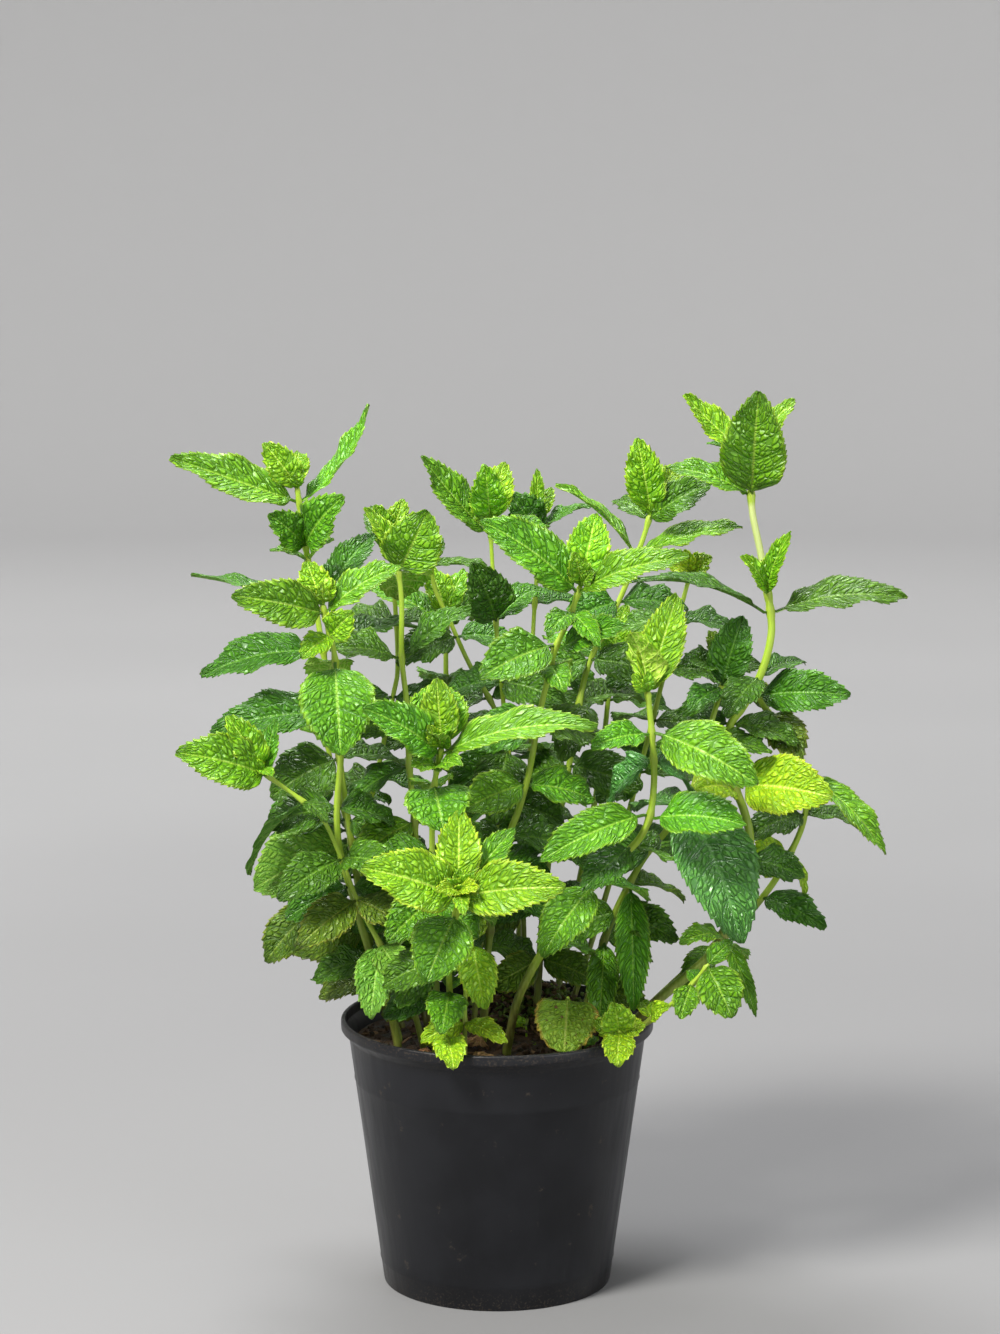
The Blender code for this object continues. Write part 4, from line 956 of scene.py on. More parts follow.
# Each tone's darker green gives the darker patches of a leaf and is also painted into the grooves and round
# the domes as painted shade.
leafTones = {
    "young": {"slot": "leaf_young", "face": (0.28, 0.58, 0.01), "deepToneAndShade": (0.045, 0.2, 0.003),
              "vein": (0.6, 0.78, 0.12), "edge": (0.5, 0.7, 0.03), "edgeShare": 0.6,
              "under": (0.27, 0.46, 0.03), "rib": (0.5, 0.66, 0.12),
              "gloss": 0.38, "through": 0.22, "stain": 0.05},
    "fresh": {"slot": "leaf_fresh", "face": (0.15, 0.41, 0.008), "deepToneAndShade": (0.02, 0.115, 0.003),
              "vein": (0.36, 0.58, 0.06), "edge": (0.4, 0.56, 0.03), "edgeShare": 0.35,
              "under": (0.2, 0.42, 0.03), "rib": (0.48, 0.66, 0.16),
              "gloss": 0.36, "through": 0.18, "stain": 0.08},
    "dark": {"slot": "leaf_dark", "face": (0.078, 0.235, 0.006), "deepToneAndShade": (0.012, 0.068, 0.003),
             "vein": (0.17, 0.36, 0.03), "edge": (0.14, 0.3, 0.015), "edgeShare": 0.25,
             "under": (0.17, 0.34, 0.04), "rib": (0.26, 0.44, 0.08),
             "gloss": 0.36, "through": 0.13, "stain": 0.15},
    "teal": {"slot": "leaf_dark", "face": (0.085, 0.28, 0.045), "deepToneAndShade": (0.012, 0.08, 0.015),
             "vein": (0.13, 0.35, 0.08), "edge": (0.1, 0.28, 0.04), "edgeShare": 0.25,
             "under": (0.12, 0.27, 0.06), "rib": (0.2, 0.42, 0.12),
             "gloss": 0.24, "through": 0.1, "stain": 0.05},
    "lime": {"slot": "leaf_lime", "face": (0.38, 0.64, 0.012), "deepToneAndShade": (0.12, 0.33, 0.006),
             "vein": (0.62, 0.78, 0.1), "edge": (0.56, 0.7, 0.03), "edgeShare": 0.5,
             "under": (0.34, 0.52, 0.04), "rib": (0.56, 0.7, 0.14),
             "gloss": 0.38, "through": 0.25, "stain": 0.05},
    "olive": {"slot": "leaf_dark", "face": (0.14, 0.24, 0.009), "deepToneAndShade": (0.04, 0.11, 0.004),
              "vein": (0.32, 0.42, 0.05), "edge": (0.32, 0.28, 0.02), "edgeShare": 0.45,
              "under": (0.24, 0.34, 0.05), "rib": (0.4, 0.46, 0.1),
              "gloss": 0.42, "through": 0.18, "stain": 0.45},
    "pale": {"slot": "leaf_fresh", "face": (0.2, 0.42, 0.035), "deepToneAndShade": (0.07, 0.22, 0.014),
             "vein": (0.38, 0.56, 0.1), "edge": (0.34, 0.5, 0.06), "edgeShare": 0.3,
             "under": (0.26, 0.44, 0.08), "rib": (0.44, 0.6, 0.16),
             "gloss": 0.46, "through": 0.2, "stain": 0.1},
    "spotted": {"slot": "leaf_lime", "face": (0.3, 0.5, 0.03), "deepToneAndShade": (0.16, 0.34, 0.012),
                "vein": (0.55, 0.62, 0.12), "edge": (0.6, 0.38, 0.05), "edgeShare": 0.9,
                "under": (0.42, 0.52, 0.1), "rib": (0.55, 0.62, 0.16),
                "gloss": 0.5, "through": 0.22, "stain": 0.6},
    "dry": {"slot": "soil", "face": (0.5, 0.29, 0.12), "deepToneAndShade": (0.26, 0.12, 0.045),
            "vein": (0.6, 0.4, 0.2), "edge": (0.3, 0.15, 0.06), "edgeShare": 0.6,
            "under": (0.45, 0.3, 0.15), "rib": (0.6, 0.42, 0.22),
            "gloss": 0.6, "through": 0.15, "stain": 0.5},
}


leafSkin = {
    "patchScale": 85.0,
    "fleckScale": 1400.0,
    # The dome and groove amounts set how much painted shade the rims of the domes and the grooves get.
    "domeShadeFloor": 0.84,
    "groove": 0.66,
    "vein": 0.5,
    "underGroove": 0.75,
    "hue": (0.485, 0.508),
    "value": (0.82, 1.18),
    "stain": (0.14, 0.075, 0.02),
    "underGloss": 0.6,
    "glossSpread": 0.14,
    "bump": 0.0009,
    "through": (0.6, 1.0, 0.15),
    "throughScale": 0.0012,
    "specular": 0.5,
}


def makeLeafMaterial(tone, look, veinGroup, mottleGroup):
    material, tree, shader = newMaterial("leaf" + tone.capitalize())
    top = attribute(tree, "leafTop")
    seed = attribute(tree, "leafSeed")
    netPlace = addNode(
        tree,
        "ShaderNodeCombineXYZ",
        {"X": attribute(tree, "leafNetX"), "Y": attribute(tree, "leafNetY")},
    )
    veins = useGroup(
        tree,
        veinGroup,
        {
            "Across": attribute(tree, "leafAcross"),
            "Run": attribute(tree, "leafRun"),
            "Net Place": netPlace.outputs[0],
            "Net Width": veinLook["netWidth"],
        },
    ).outputs
    mottle = useGroup(
        tree,
        mottleGroup,
        {
            "Place": surfacePlace(tree),
            "Patch Scale": leafSkin["patchScale"],
            "Fleck Scale": leafSkin["fleckScale"],
            "Stain Amount": look["stain"],
        },
    ).outputs
    face = mixed(tree, ramped(tree, mottle["Patch"], 0, 1, 0.3, 0.0), look["face"], look["deepToneAndShade"])
    face = mixed(tree, times(tree, veins["Edge"], look["edgeShare"]), face, look["edge"])
    # Painted shade: the rims of the domes and the grooves of the net and side veins are mixed towards the
    # darker green, as shade in the hollows.
    blade = mixed(tree, ramped(tree, veins["Dome"], 0.0, 0.7, leafSkin["domeShadeFloor"], 1.0), look["deepToneAndShade"], face)
    blade = mixed(tree, times(tree, veins["Groove"], leafSkin["groove"]), blade, look["deepToneAndShade"])
    blade = mixed(tree, times(tree, veins["Vein"], leafSkin["vein"]), blade, look["vein"])
    under = mixed(tree, mottle["Patch"], look["under"], look["face"])
    under = mixed(tree, times(tree, veins["Groove"], leafSkin["underGroove"]), under, look["rib"])
    under = mixed(tree, larger(tree, veins["Vein"], veins["Side Vein"]), under, look["rib"])
    tint = addNode(tree, "ShaderNodeHueSaturation", {"Color": mixed(tree, top, under, blade)})
    turn = maths(tree, "FRACT", times(tree, seed, 3.7))
    feed(tree, tint.inputs["Hue"], ramped(tree, turn, 0, 1, *leafSkin["hue"], False))
    shade = maths(tree, "FRACT", seed)
    feed(tree, tint.inputs["Value"], ramped(tree, shade, 0, 1, *leafSkin["value"], False))
    colour = mixed(tree, mottle["Stain"], tint.outputs["Color"], leafSkin["stain"])
    feed(tree, shader.inputs["Base Color"], colour)
    dull = look["gloss"] + leafSkin["glossSpread"]
    gloss = ramped(tree, mottle["Fleck"], 0.3, 0.7, look["gloss"], dull, False)
    feed(tree, shader.inputs["Roughness"], mixedValue(tree, top, leafSkin["underGloss"], gloss))
    height = maths(tree, "SUBTRACT", veins["Dome"], times(tree, veins["Groove"], 0.3))
    height = times(tree, height, maths(tree, "MULTIPLY_ADD", top, 1.7, -0.7))
    height = plus(tree, height, times(tree, mottle["Fleck"], 0.03))
    addBump(tree, shader, height, 1.0, leafSkin["bump"])
    letLightThrough(shader, look["through"], leafSkin["through"], leafSkin["throughScale"])
    shader.inputs["Specular IOR Level"].default_value = leafSkin["specular"]
    return material


# The smallest leaves, still upright and half closed round the tip of a shoot
budLook = {
    "leaves": [
        # turn, opening, length, width
        (20, 34, 12, 6.4),
        (200, 30, 11, 6.0),
        (110, 22, 9, 5.0),
        (290, 26, 9.5, 5.2),
        (65, 10, 6.5, 3.6),
        (245, 12, 6, 3.4),
    ],
}


def makeBuds(name, tip, forward, rng):
    across, away = frameOf(forward)
    pieces = []
    for k, (turn, opening, length, width) in enumerate(budLook["leaves"]):
        angle = math.radians(turn + rng.uniform(-25, 25))
        spread = math.radians(opening + rng.uniform(-6, 8))
        outward = across * math.cos(angle) + away * math.sin(angle)
        reach = forward * math.cos(spread) + outward * math.sin(spread)
        base = tip + outward * 0.5 - forward * 0.6
        end = base + reach * length * rng.uniform(0.85, 1.1)
        lean = 75 if reach.y < 0.1 else 20
        leaf = (*end, lean, width, 0.12)
        pieces.append(leafMesh(f"{name}_{k}", base, leaf, tip - forward * 1.2, rng))
    return joined(pieces)


def joined(pieces):
    with bpy.context.temp_override(active_object=pieces[0], selected_editable_objects=pieces):
        bpy.ops.object.join()
    return pieces[0]


stemLook = {
    "sides": 16,
    "step": 2.2,
    "nodeSwell": 0.5,
    "nodeReach": 2.0,
    "intoSoil": 3.0,
    "square": 0.16,
    "turn": 0.4,
    "young": (0.33, 0.5, 0.025),
    "old": (0.17, 0.27, 0.018),
    "blush": (0.13, 0.05, 0.03),
    "pale": (0.5, 0.58, 0.22),
    "streak": (0.42, 0.5, 0.1),
    "stain": (0.12, 0.07, 0.02),
    "paleStretch": {"12": (300, 326)},
}


# A smooth line through the points of a stem
def smoothPath(points, step):
    points = [Vector(point) for point in points]
    padded = [points[0] * 2 - points[1]] + points + [points[-1] * 2 - points[-2]]
    line = []
    for i in range(1, len(padded) - 2):
        p0, p1, p2, p3 = padded[i - 1 : i + 3]
        count = max(2, round((p2 - p1).length / step))
        for k in range(count):
            t = k / count
            line.append(
                0.5
                * (
                    p1 * 2
                    + (p2 - p0) * t
                    + (p0 * 2 - p1 * 5 + p2 * 4 - p3) * t * t
                    + (p1 * 3 - p0 - p2 * 3 + p3) * t**3
                )
            )
    line.append(points[-1])
    return line


def onPath(line, height):
    for low, high in zip(line, line[1:]):
        if height <= high.z:
            return low.lerp(high, min(max((height - low.z) / (high.z - low.z), 0), 1))
    return line[-1]


# Parallel frames along a line, so that a square stem doesn't twist
def framesOf(line):
    frames = []
    across = None
    for i in range(len(line)):
        direction = (line[min(i + 1, len(line) - 1)] - line[max(i - 1, 0)]).normalized()
        if across is None:
            across = direction.cross(Vector((0, 1, 0))).normalized()
        across = (across - direction * across.dot(direction)).normalized()
        frames.append((direction, across, direction.cross(across)))
    return frames


def makeTube(name, line, radii, square=0.0, turn=0.0, values=None):
    sides = stemLook["sides"]
    points = []
    for point, radius, (direction, across, away) in zip(line, radii, framesOf(line)):
        for k in range(sides):
            angle = math.tau * k / sides
            reach = radius * (1 + square * (abs(math.sin(2 * angle)) - 0.62))
            outward = across * math.cos(angle + turn) + away * math.sin(angle + turn)
            points.append((point + outward * reach) * mm)
    faces = [tuple(range(sides))[::-1]]
    for ring in range(len(line) - 1):
        for k in range(sides):
            after = (k + 1) % sides
            low = ring * sides
            faces.append((low + k, low + after, low + sides + after, low + sides + k))
    faces.append(tuple(range((len(line) - 1) * sides, len(line) * sides)))
    spread = {label: np.repeat(data, sides) for label, data in (values or {}).items()}
    return addPiece(name, points, faces, spread)


def makeStem(shoot, line):
    name = shoot["name"]
    nodes = [pair[0] for pair in shoot["pairs"]]
    below = [line[0] - Vector((0, 0, stemLook["intoSoil"])), line[0] - Vector((0, 0, 1.2))]
    path = below + line
    radii = []
    nearNode = []
    share = []
    pale = []
    low, high = stemLook["paleStretch"].get(name, (-9, -8))
    top = shoot["stem"][-1][2]
    for point in path:
        swells = [math.exp(-(((point.z - node) / stemLook["nodeReach"]) ** 2)) for node in nodes]
        near = max([*swells, 0])
        radius = stemRadius(shoot, point.z) + stemLook["nodeSwell"] * near
        radii.append(radius * min(1.0, 0.45 + (top - point.z) / 3) if point.z > top - 2 else radius)
        nearNode.append(near)
        share.append((point.z - 104) / max(top - 104, 1))
        pale.append(float(low < point.z < high))
    return makeTube(
        f"stem_{name}_shaft",
        path,
        radii,
        square=stemLook["square"],
        turn=stemLook["turn"],
        values={"stemShare": share, "stemNode": nearNode, "stemPale": pale},
    )


def makeStemMaterial(mottleGroup, streakGroup):
    material, tree, shader = newMaterial("stemSkin")
    share = attribute(tree, "stemShare")
    near = attribute(tree, "stemNode")
    pale = attribute(tree, "stemPale")
    spot = surfacePlace(tree)
    streak = useGroup(
        tree,
        streakGroup,
        {"Place": spot, "Stretch": (1.0, 1.0, 0.12), "Scale": 900.0, "Detail": 2.0},
    ).outputs[0]
    mottle = useGroup(
        tree,
        mottleGroup,
        {"Place": spot, "Patch Scale": 60.0, "Fleck Scale": 1600.0, "Stain Amount": 0.12},
    ).outputs
    colour = mixed(tree, ramped(tree, share, 0.05, 0.6), stemLook["old"], stemLook["young"])
    blush = times(tree, ramped(tree, share, 0.0, 0.34, 0.75, 0.0), mottle["Patch"])
    blush = larger(tree, blush, times(tree, near, ramped(tree, share, 0.1, 0.9, 0.5, 0.12)))
    colour = mixed(tree, blush, colour, stemLook["blush"])
    colour = mixed(tree, pale, colour, stemLook["pale"])
    colour = mixed(tree, ramped(tree, streak, 0.35, 0.7, 0.0, 0.35), colour, stemLook["streak"])
    colour = mixed(tree, times(tree, mottle["Stain"], 0.6), colour, stemLook["stain"])
    feed(tree, shader.inputs["Base Color"], colour)
    feed(tree, shader.inputs["Roughness"], ramped(tree, mottle["Fleck"], 0.3, 0.7, 0.38, 0.56))
    height = plus(tree, streak, times(tree, mottle["Fleck"], 0.5))
    addBump(tree, shader, height, 0.4, 0.0003)
    letLightThrough(shader, 0.2, (0.6, 1.0, 0.2), 0.0015)
    return material


potLook = {
    "height": 112.0,
    "rim": 65.0,
    "foot": 47.2,
    "wall": 1.2,
    "facets": 160,
    "holeRing": 30.0,
    "holeRadius": 3.5,
    "holes": 6,
    "colour": (0.0055, 0.0058, 0.0075),
    "worn": (0.009, 0.0095, 0.012),
    # The pale brown is painted sheen under the rim, and soil dust round the foot and in stains.
    "dustAndSheen": (0.09, 0.07, 0.05),
    "specular": 0.32,
}


def revolved(name, profile, facets):
    points = []
    rings = []
    for radius, height in profile:
        if radius == 0:
            rings.append([len(points)] * facets)
            points.append((0, 0, height * mm))
            continue
        rings.append(list(range(len(points), len(points) + facets)))
        for facet in range(facets):
            angle = math.tau * facet / facets
            points.append((radius * math.cos(angle) * mm, radius * math.sin(angle) * mm, height * mm))
    faces = []
    for first, second in zip(rings, rings[1:]):
        for facet in range(facets):
            after = (facet + 1) % facets
            faces.append(list(dict.fromkeys([first[facet], first[after], second[after], second[facet]])))
    mesh = bpy.data.meshes.new(name)
    mesh.from_pydata(points, [], faces)
    shaped = bmesh.new()
    shaped.from_mesh(mesh)
    bmesh.ops.recalc_face_normals(shaped, faces=shaped.faces)
    shaped.to_mesh(mesh)
    shaped.free()
    return linked(name, mesh)


def makePot():
    top, rim, foot, wall = (potLook[key] for key in ("height", "rim", "foot", "wall"))
    profile = [(0, 0), (15.3, 0), (16.0, 0.2), (18.2, 2.0), (18.9, 2.2), (42.3, 2.2), (43.0, 1.9)]
    profile += [(44.4, 0.2), (44.8, 0), (foot - 0.2, 0), (foot + 0.2, 0.15), (foot + 0.4, 0.7)]
    # The tapered wall with a faint step where the pot would stack
    slope = (rim - 3.4 - (foot + 0.4)) / (top - 8 - 0.7)
    for height in (9, 10, 11, 30, 50, 70, 86, 87, 88, 100):
        step = 0.25 if height in (10, 87) else 0.0
        profile.append((foot + 0.4 + slope * (height - 0.7) + step, height))
    profile += [(rim - 3.4, top - 8), (rim - 3.1, top - 7.3), (rim - 0.9, top - 4.9), (rim - 0.35, top - 4.4)]
    profile += [(rim - 0.05, top - 3.9), (rim, top - 3.4), (rim, top - 1.0), (rim - 0.12, top - 0.45)]
    profile += [(rim - 0.5, top - 0.08), (rim - 0.8, top), (rim - 1.3, top), (rim - 1.65, top - 0.15)]
    profile += [(rim - 1.9, top - 0.7), (rim - 1.9, top - 3.4), (rim - 2.2, top - 4.2)]
    profile += [(rim - 3.4 - wall, top - 7.2), (foot + 0.4 - wall, 4.4), (foot - 0.9, 4.0), (foot - 1.6, 3.9)]
    profile += [(17.6, 3.9), (16.9, 3.7), (15.2, 2.1), (14.6, 1.8), (0, 1.8)]
    pot = revolved("pot_shell", profile, potLook["facets"])
    cutters = []
    for hole in range(potLook["holes"]):
        angle = math.tau * (hole + 0.5) / potLook["holes"] + 0.05
        centre = Vector((potLook["holeRing"] * math.cos(angle), potLook["holeRing"] * math.sin(angle), 0))
        path = [centre - Vector((0, 0, 2)), centre + Vector((0, 0, 8))]
        cutter = makeTube(f"holeCutter{hole}", path, [potLook["holeRadius"]] * 2)
        cut = pot.modifiers.new(f"hole{hole}", "BOOLEAN")
        cut.operation = "DIFFERENCE"
        cut.solver = "EXACT"
        cut.object = cutter
        cutters.append(cutter)
    bpy.context.view_layer.update()
    whole = bpy.data.meshes.new_from_object(pot.evaluated_get(bpy.context.evaluated_depsgraph_get()))
    pot.modifiers.clear()
    pot.data = whole
    for cutter in cutters:
        bpy.data.objects.remove(cutter, do_unlink=True)
    whole.shade_smooth()
    whole.set_sharp_from_angle(angle=math.radians(38))
    return pot


def makePotMaterial(mottleGroup, streakGroup):
    material, tree, shader = newMaterial("potPlastic")
    spot = surfacePlace(tree)
    height = addNode(tree, "ShaderNodeSeparateXYZ", {"Vector": spot}).outputs["Z"]
    mottle = useGroup(
        tree,
        mottleGroup,
        {"Place": spot, "Patch Scale": 38.0, "Fleck Scale": 1100.0, "Stain Amount": 0.55},
    ).outputs
    flow = useGroup(
        tree,
        streakGroup,
        {"Place": spot, "Stretch": (1.0, 1.0, 0.05), "Scale": 260.0, "Detail": 3.0},
    ).outputs[0]
    colour = mixed(tree, mottle["Patch"], potLook["colour"], potLook["worn"])
    # Pale brown flecks under the rim, partly painted sheen and partly soil dust, and soil dust round the foot
    rimSheenAndDust = ramped(tree, height, 0.1, 0.112)
    footDust = ramped(tree, height, 0.012, 0.0, 0.0, 1.0)
    dustAndSheen = times(tree, larger(tree, rimSheenAndDust, footDust), ramped(tree, mottle["Fleck"], 0.52, 0.72))
    dustAndSheen = larger(tree, times(tree, dustAndSheen, 0.5), times(tree, mottle["Stain"], 0.35))
    feed(tree, shader.inputs["Base Color"], mixed(tree, dustAndSheen, colour, potLook["dustAndSheen"]))
    rough = plus(tree, ramped(tree, flow, 0.3, 0.7, 0.3, 0.42), times(tree, dustAndSheen, 0.4))
    feed(tree, shader.inputs["Roughness"], rough)
    bumpy = plus(tree, times(tree, flow, 0.5), times(tree, mottle["Fleck"], 0.35))
    addBump(tree, shader, bumpy, 0.25, 0.0002)
    shader.inputs["Specular IOR Level"].default_value = potLook["specular"]
    return material


soilLook = {
    "level": 102.0,
    "rings": 46,
    "facets": 150,
    "crumbs": 520,
    "barks": 46,
    "straws": 16,
    "seed": 5,
    "heap": (14, 24, 30, 20, 13),
    "litter": 520,
}

soilFinishes = {
    "peat": {"dark": (0.014, 0.008, 0.004), "light": (0.085, 0.045, 0.02), "warm": (0.09, 0.05, 0.025),
             "rough": 0.55, "scale": 500.0},
    "bark": {"dark": (0.05, 0.028, 0.014), "light": (0.2, 0.12, 0.06), "warm": (0.09, 0.05, 0.025),
             "rough": 0.6, "scale": 300.0},
    "straw": {"dark": (0.2, 0.1, 0.04), "light": (0.42, 0.27, 0.13), "warm": (0.2, 0.08, 0.04),
              "rough": 0.5, "scale": 260.0},
    "moss": {"dark": (0.07, 0.13, 0.012), "light": (0.19, 0.28, 0.03), "warm": (0.26, 0.22, 0.05),
             "rough": 0.5, "scale": 420.0},
    "rot": {"dark": (0.05, 0.028, 0.012), "light": (0.24, 0.15, 0.06), "warm": (0.3, 0.2, 0.09),
            "rough": 0.55, "scale": 420.0},
}


def soilHeight(x, y):
    wave = math.sin(x * 0.21 + 1.3) * math.cos(y * 0.17) * 0.5 + math.sin((x + y) * 0.35) * 0.3
    middleX, middleY, reachX, reachY, tall = soilLook["heap"]
    heap = tall * math.exp(-(((x - middleX) / reachX) ** 2) - ((y - middleY) / reachY) ** 2)
    return soilLook["level"] + wave + 0.4 * math.cos(math.hypot(x, y) / 22) + heap


def soilEdge():
    foot, rim, wall, top = potLook["foot"], potLook["rim"], potLook["wall"], potLook["height"]
    slope = (rim - 3.4 - wall - (foot + 0.4 - wall)) / (top - 7.2 - 4.4)
    return foot + 0.4 - wall + slope * (soilLook["level"] - 4.4) - 0.5


# The solid mass of peat with a rough top
def makeSoil():
    edge = soilEdge()
    low = potLook["foot"] - 2.1
    profile = [(0, 2.2), (14.3, 2.2), (17.3, 4.3), (low, 4.3), (low + 1.2, 5.4)]
    profile += [(edge, soilLook["level"])]
    rings = soilLook["rings"]
    profile += [(edge * (1 - k / rings), soilLook["level"]) for k in range(1, rings)]
    profile += [(0, soilLook["level"])]
    soil = revolved("soil_mass", profile, soilLook["facets"])
    for point in soil.data.vertices:
        if point.co.z > (soilLook["level"] - 0.1) * mm:
            x, y = point.co.x / mm, point.co.y / mm
            reach = math.hypot(x, y) / edge
            rough = noise.fractal(Vector((x, y, 3)) * 0.35, 0.9, 2.1, 4) * 0.8
            lift = soilHeight(x, y) - soilLook["level"] + rough
            point.co.z = (soilLook["level"] + lift * (1 - reach**6)) * mm
    soil.data.shade_smooth()
    return soil


def bitOnSoil(shaped, size, place, turn, roughness, rng, lift=0.3):
    made = bmesh.ops.create_icosphere(shaped, subdivisions=1, radius=1.0)["verts"]
    offset = Vector((rng.random() * 50, rng.random() * 50, rng.random() * 50))
    for vertex in made:
        bulge = 1 + roughness * noise.noise(vertex.co * 1.6 + offset)
        point = Vector((vertex.co.x * size[0], vertex.co.y * size[1], vertex.co.z * size[2])) * bulge
        point.rotate(turn)
        vertex.co = (place + point + Vector((0, 0, size[2] * lift))) * mm


def meshFrom(name, shaped, smooth=False):
    mesh = bpy.data.meshes.new(name)
    shaped.to_mesh(mesh)
    shaped.free()
    if smooth:
        mesh.shade_smooth()
    return linked(name, mesh)


def spotOnSoil(rng, reach=1.0):
    angle = rng.random() * math.tau
    radius = (soilEdge() - 1.5) * math.sqrt(rng.random()) * reach
    x, y = radius * math.cos(angle), radius * math.sin(angle)
    return Vector((x, y, soilHeight(x, y)))


def makeCrumbs():
    rng = random.Random(soilLook["seed"])
    shaped = bmesh.new()
    for _ in range(soilLook["crumbs"]):
        size = 0.5 + rng.random() ** 2 * 1.9
        turn = Euler((rng.random() * 6, rng.random() * 6, rng.random() * 6))
        squash = (size, size * (0.6 + 0.4 * rng.random()), size * (0.5 + 0.3 * rng.random()))
        bitOnSoil(shaped, squash, spotOnSoil(rng), turn, 0.9, rng)
    crumbs = meshFrom("soil_crumbs", shaped)
    shaped = bmesh.new()
    for _ in range(soilLook["barks"]):
        long = 1.6 + rng.random() * 3.4
        turn = Euler((rng.uniform(-0.4, 0.4), rng.uniform(-0.3, 0.3), rng.random() * 6.28))
        bitOnSoil(shaped, (long, long * 0.42, 0.45), spotOnSoil(rng, 0.97), turn, 0.8, rng, 1.0)
    barks = meshFrom("soil_bark", shaped)
    return crumbs, barks


# Moss and rotting bits that cover the heap between the stems
def makeLitter():
    rng = random.Random(soilLook["seed"] + 2)
    made = []
    middleX, middleY, reachX, reachY = soilLook["heap"][:4]
    for name, share in (("soil_moss", 0.6), ("soil_rot", 0.4)):
        shaped = bmesh.new()
        for _ in range(round(soilLook["litter"] * share)):
            x = rng.gauss(middleX, reachX * 0.6)
            y = rng.gauss(middleY - 6, reachY * 0.65)
            if math.hypot(x, y) > soilEdge() - 3:
                continue
            long = 1.0 + rng.random() * 2.0
            turn = Euler((rng.uniform(-0.9, 0.9), rng.uniform(-0.9, 0.9), rng.random() * 6.28))
            place = Vector((x, y, soilHeight(x, y) + rng.random() ** 2 * 7))
            bitOnSoil(shaped, (long, long * 0.6, 0.24), place, turn, 0.5, rng, 1.0)
        made.append(meshFrom(name, shaped, True))
    return made


# Dry stalks: one long reddish one lies across the middle, the others are short
def makeStraws():
    rng = random.Random(soilLook["seed"] + 1)
    made = []
    line = smoothPath([(9, 24, 104.6), (12, 12, 105.6), (16, 0, 105.2), (21, -14, 104.4)], 2)
    made.append(makeTube("soil_straw_0", line, [0.55] * len(line)))
    for k in range(1, soilLook["straws"]):
        start = spotOnSoil(rng, 0.85)
        angle = rng.random() * math.tau
        length = 5 + rng.random() * 10
        end = start + Vector((math.cos(angle), math.sin(angle), 0)) * length
        if math.hypot(end.x, end.y) > soilEdge() - 2:
            end = start - (end - start)
        middle = (start + end) / 2 + Vector((rng.uniform(-1, 1), rng.uniform(-1, 1), 1.4))
        start.z += 0.7
        end.z = soilHeight(end.x, end.y) + 0.8
        line = smoothPath([start, middle, end], 1.5)
        made.append(makeTube(f"soil_straw_{k}", line, [0.22 + 0.2 * rng.random()] * len(line)))
    return made


def makeSoilMaterial(name, look, mottleGroup, grainGroup):
    material, tree, shader = newMaterial(name)
    spot = surfacePlace(tree)
    scale = look["scale"]
    mottle = useGroup(
        tree,
        mottleGroup,
        {"Place": spot, "Patch Scale": scale * 0.35, "Fleck Scale": scale * 3, "Stain Amount": 0.5},
    ).outputs
    grain = useGroup(tree, grainGroup, {"Place": spot, "Scale": scale, "Fleck": mottle["Fleck"]})
    colour = mixed(tree, mottle["Patch"], look["dark"], look["light"])
    colour = mixed(tree, ramped(tree, mottle["Fleck"], 0.55, 0.75, 0.0, 0.7), colour, look["warm"])
    feed(tree, shader.inputs["Base Color"], colour)
    feed(tree, shader.inputs["Roughness"], ramped(tree, mottle["Patch"], 0, 1, look["rough"], 0.95))
    addBump(tree, shader, grain.outputs["Height"], 0.8, 0.0008)
    return material


stageLook = {
    "floorRadius": 2.6,
    "wallRadius": 3.4,
    "wallHeight": 2.6,
    # Painted light: the floor colour runs from dark near the middle, under the brightest lamp light, to light
    # at the wall.
    "near": (0.2, 0.2, 0.205),
    "far": (0.6, 0.6, 0.61),
    "rough": 0.85,
    "air": (1.0, 0.99, 0.97, 1),
    "airStrength": 0.5,
}

# Each lamp: place, height it aims at, watts, size, colour
lampLook = {
    "keyLight": ((-0.75, -0.95, 1.6), 0.22, 62, 0.55, (1.0, 0.985, 0.93)),
    "fillLight": ((1.5, -1.3, 0.8), 0.2, 12, 1.2, (0.95, 0.98, 1.0)),
    "topLight": ((-0.2, 0.6, 1.8), 0.25, 34, 0.8, (1, 1, 1)),
}

cameraLook = {"place": (0.0012, -1.48153, 0.49385), "pitch": 81.0, "lens": 98.636, "sensor": 36.0}


# A round pale floor that curves up to a low wall, the same from every side
def makeStage():
    points = [(0.0, 0.0), (0.6, 0.0), (stageLook["floorRadius"], 0.0)]
    bend = stageLook["wallRadius"] - stageLook["floorRadius"]
    for k in range(1, 9):
        angle = math.pi / 2 * k / 8
        points.append((stageLook["floorRadius"] + bend * math.sin(angle), bend * (1 - math.cos(angle))))
    points.append((stageLook["wallRadius"], stageLook["wallHeight"]))
    floor = revolved("floor", [(radius / mm, height / mm) for radius, height in points], 96)
    floor.data.shade_smooth()
    floor.data.flip_normals()
    material, tree, shader = newMaterial("studioFloor")
    spot = surfacePlace(tree)
    soft = noised(tree, spot, 1.3, 2.0)
    away = addNode(tree, "ShaderNodeVectorMath", {0: spot}, operation="LENGTH").outputs["Value"]
    away = plus(tree, away, times(tree, soft, 0.4))
    # Painted light: darker near the middle and lighter out to the wall, to even out the pool of lamp light.
    colour = mixed(tree, ramped(tree, away, 0.5, 2.8), stageLook["near"], stageLook["far"])
    feed(tree, shader.inputs["Base Color"], colour)
    shader.inputs["Roughness"].default_value = stageLook["rough"]
    floor.data.materials.append(material)


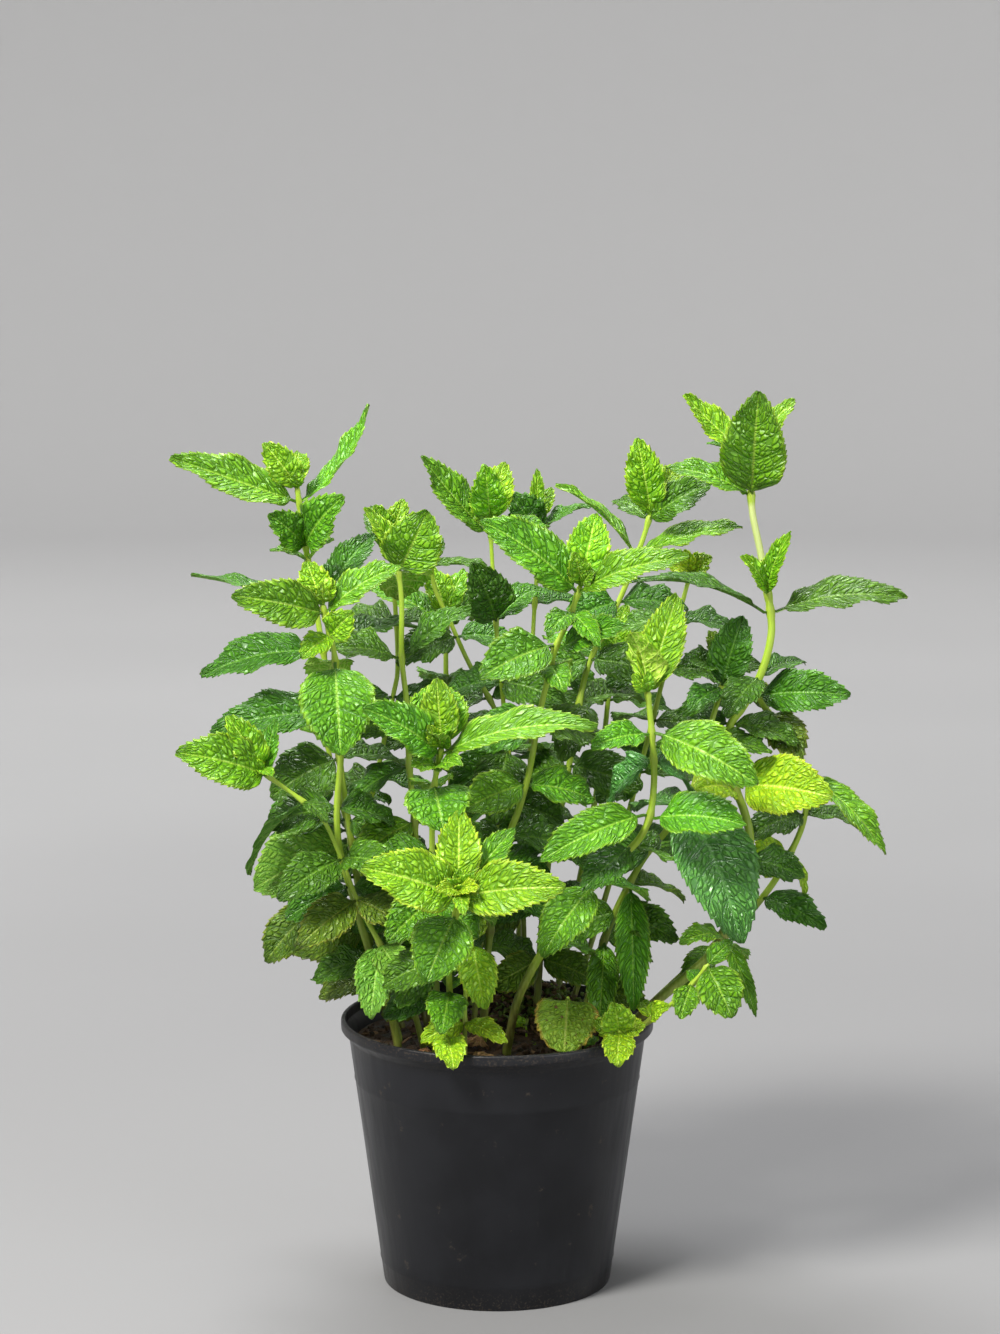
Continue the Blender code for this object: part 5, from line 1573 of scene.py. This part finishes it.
def makeLights():
    for name, (place, aim, watts, size, colour) in lampLook.items():
        light = bpy.data.lights.new(name, "AREA")
        light.energy = watts
        light.color = colour
        light.shape = "DISK"
        light.size = size
        lamp = linked(name, light)
        lamp.location = place
        lamp.rotation_euler = (Vector((0, 0, aim)) - Vector(place)).to_track_quat("-Z", "Y").to_euler()
    world = bpy.data.worlds.new("studioAir")
    world.use_nodes = True
    background = world.node_tree.nodes["Background"]
    background.inputs["Color"].default_value = stageLook["air"]
    background.inputs["Strength"].default_value = stageLook["airStrength"]
    scene.world = world
    scene.view_settings.view_transform = "Standard"


def makeCamera():
    data = bpy.data.cameras.new("viewCamera")
    data.lens = cameraLook["lens"]
    data.sensor_width = cameraLook["sensor"]
    data.clip_start = 0.05
    data.clip_end = 40
    camera = linked("viewCamera", data)
    camera.location = cameraLook["place"]
    camera.rotation_euler = (math.radians(cameraLook["pitch"]), 0, 0)
    scene.camera = camera


def own(piece, material, slotName, *nodes):
    piece.data.materials.clear()
    piece.data.materials.append(material)
    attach(piece, "root")
    if nodes:
        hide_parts(*nodes)


makeStage()
makeLights()
makeCamera()
print("stage, lights and camera are set")

veinGroup = makeVeinGroup()
mottleGroup = makeMottleGroup()
streakGroup = makeStreakGroup()
grainGroup = makeGrainGroup()

own(makePot(), makePotMaterial(mottleGroup, streakGroup), "pot_plastic", "pot")
finishes = {}
for name, look in soilFinishes.items():
    finishes[name] = makeSoilMaterial(name, look, mottleGroup, grainGroup)
own(makeSoil(), finishes["peat"], "soil", "soil")
crumbs, barks = makeCrumbs()
bits = [(crumbs, "peat"), (barks, "bark")]
bits += [(piece, "straw") for piece in makeStraws()]
bits += zip(makeLitter(), ("moss", "rot"))
for piece, name in bits:
    own(piece, finishes[name], "soil")
print("pot and soil are made")

lines = {shoot["name"]: smoothPath(shoot["stem"], stemLook["step"]) for shoot in shoots}
stemSkin = makeStemMaterial(mottleGroup, streakGroup)
for shoot in shoots:
    kind = "sprig" if shoot["split"] is None else "stem"
    own(makeStem(shoot, lines[shoot["name"]]), stemSkin, "stem", f"{kind}_{shoot['name']}")
print("stems are made")

leafMaterials = {}
for tone, look in leafTones.items():
    leafMaterials[tone] = makeLeafMaterial(tone, look, veinGroup, mottleGroup)
leafRandom = random.Random(leafLook["seed"])
counts = {}
budded = set()
for group, shoot, height, tone, base, leaf in settle():
    counts[group] = counts.get(group, 0) + 1
    line = lines[shoot["name"]]
    axis = onPath(line, height)
    piece = leafMesh(f"{group}_leaf_{counts[group]}", base, leaf, axis, leafRandom, tone == "spotted")
    own(piece, leafMaterials[tone], leafTones[tone]["slot"], group)
    nearTip = tone in ("young", "lime") and height > shoot["stem"][-1][2] - 6
    if nearTip and shoot["split"] and shoot["name"] not in budded:
        budded.add(shoot["name"])
        forward = (line[-1] - line[-3]).normalized()
        buds = makeBuds(f"{group}_buds", line[-1], forward, leafRandom)
        own(buds, leafMaterials[tone], leafTones[tone]["slot"])

# Curled dry flakes and small seedlings on the soil: x, y, turn, length, width, tone
looseLeaves = [
    (-12, -44, 20, 12, 6, "dry"),
    (0, -49, -15, 13, 6, "dry"),
    (11, -50, 160, 10, 5, "dry"),
    (-15, -22, 70, 11, 7, "dry"),
    (-4, -16, 200, 9, 6, "dry"),
    (-34, -38, 30, 10, 5, "dry"),
    (6, -6, 40, 7, 5, "lime"),
    (12, -4, 160, 7, 5, "lime"),
    (18, 2, 100, 8, 5, "fresh"),
    (-2, 0, 250, 7, 5, "fresh"),
    (24, -2, 10, 7, 5, "lime"),
    (-26, -30, 120, 8, 5, "lime"),
    (36, -30, 60, 8, 6, "fresh"),
]
for k, (x, y, turn, length, width, tone) in enumerate(looseLeaves):
    # A dry flake lies on the soil, a seedling stands up from it
    lift, rise, arch = (0.9, 1.5, 0.22) if tone == "dry" else (4.5, 2.5, 0.1)
    base = Vector((x, y, soilHeight(x, y) + lift))
    angle = math.radians(turn)
    end = base + Vector((math.cos(angle) * length, math.sin(angle) * length, rise))
    leaf = (*end, 25, width, arch)
    piece = leafMesh(f"soil_leaf_{k}", base, leaf, base - Vector((0, 0, lift)), leafRandom, True)
    own(piece, leafMaterials[tone], leafTones[tone]["slot"])
print("leaves are made:", sum(counts.values()))

bpy.context.view_layer.update()
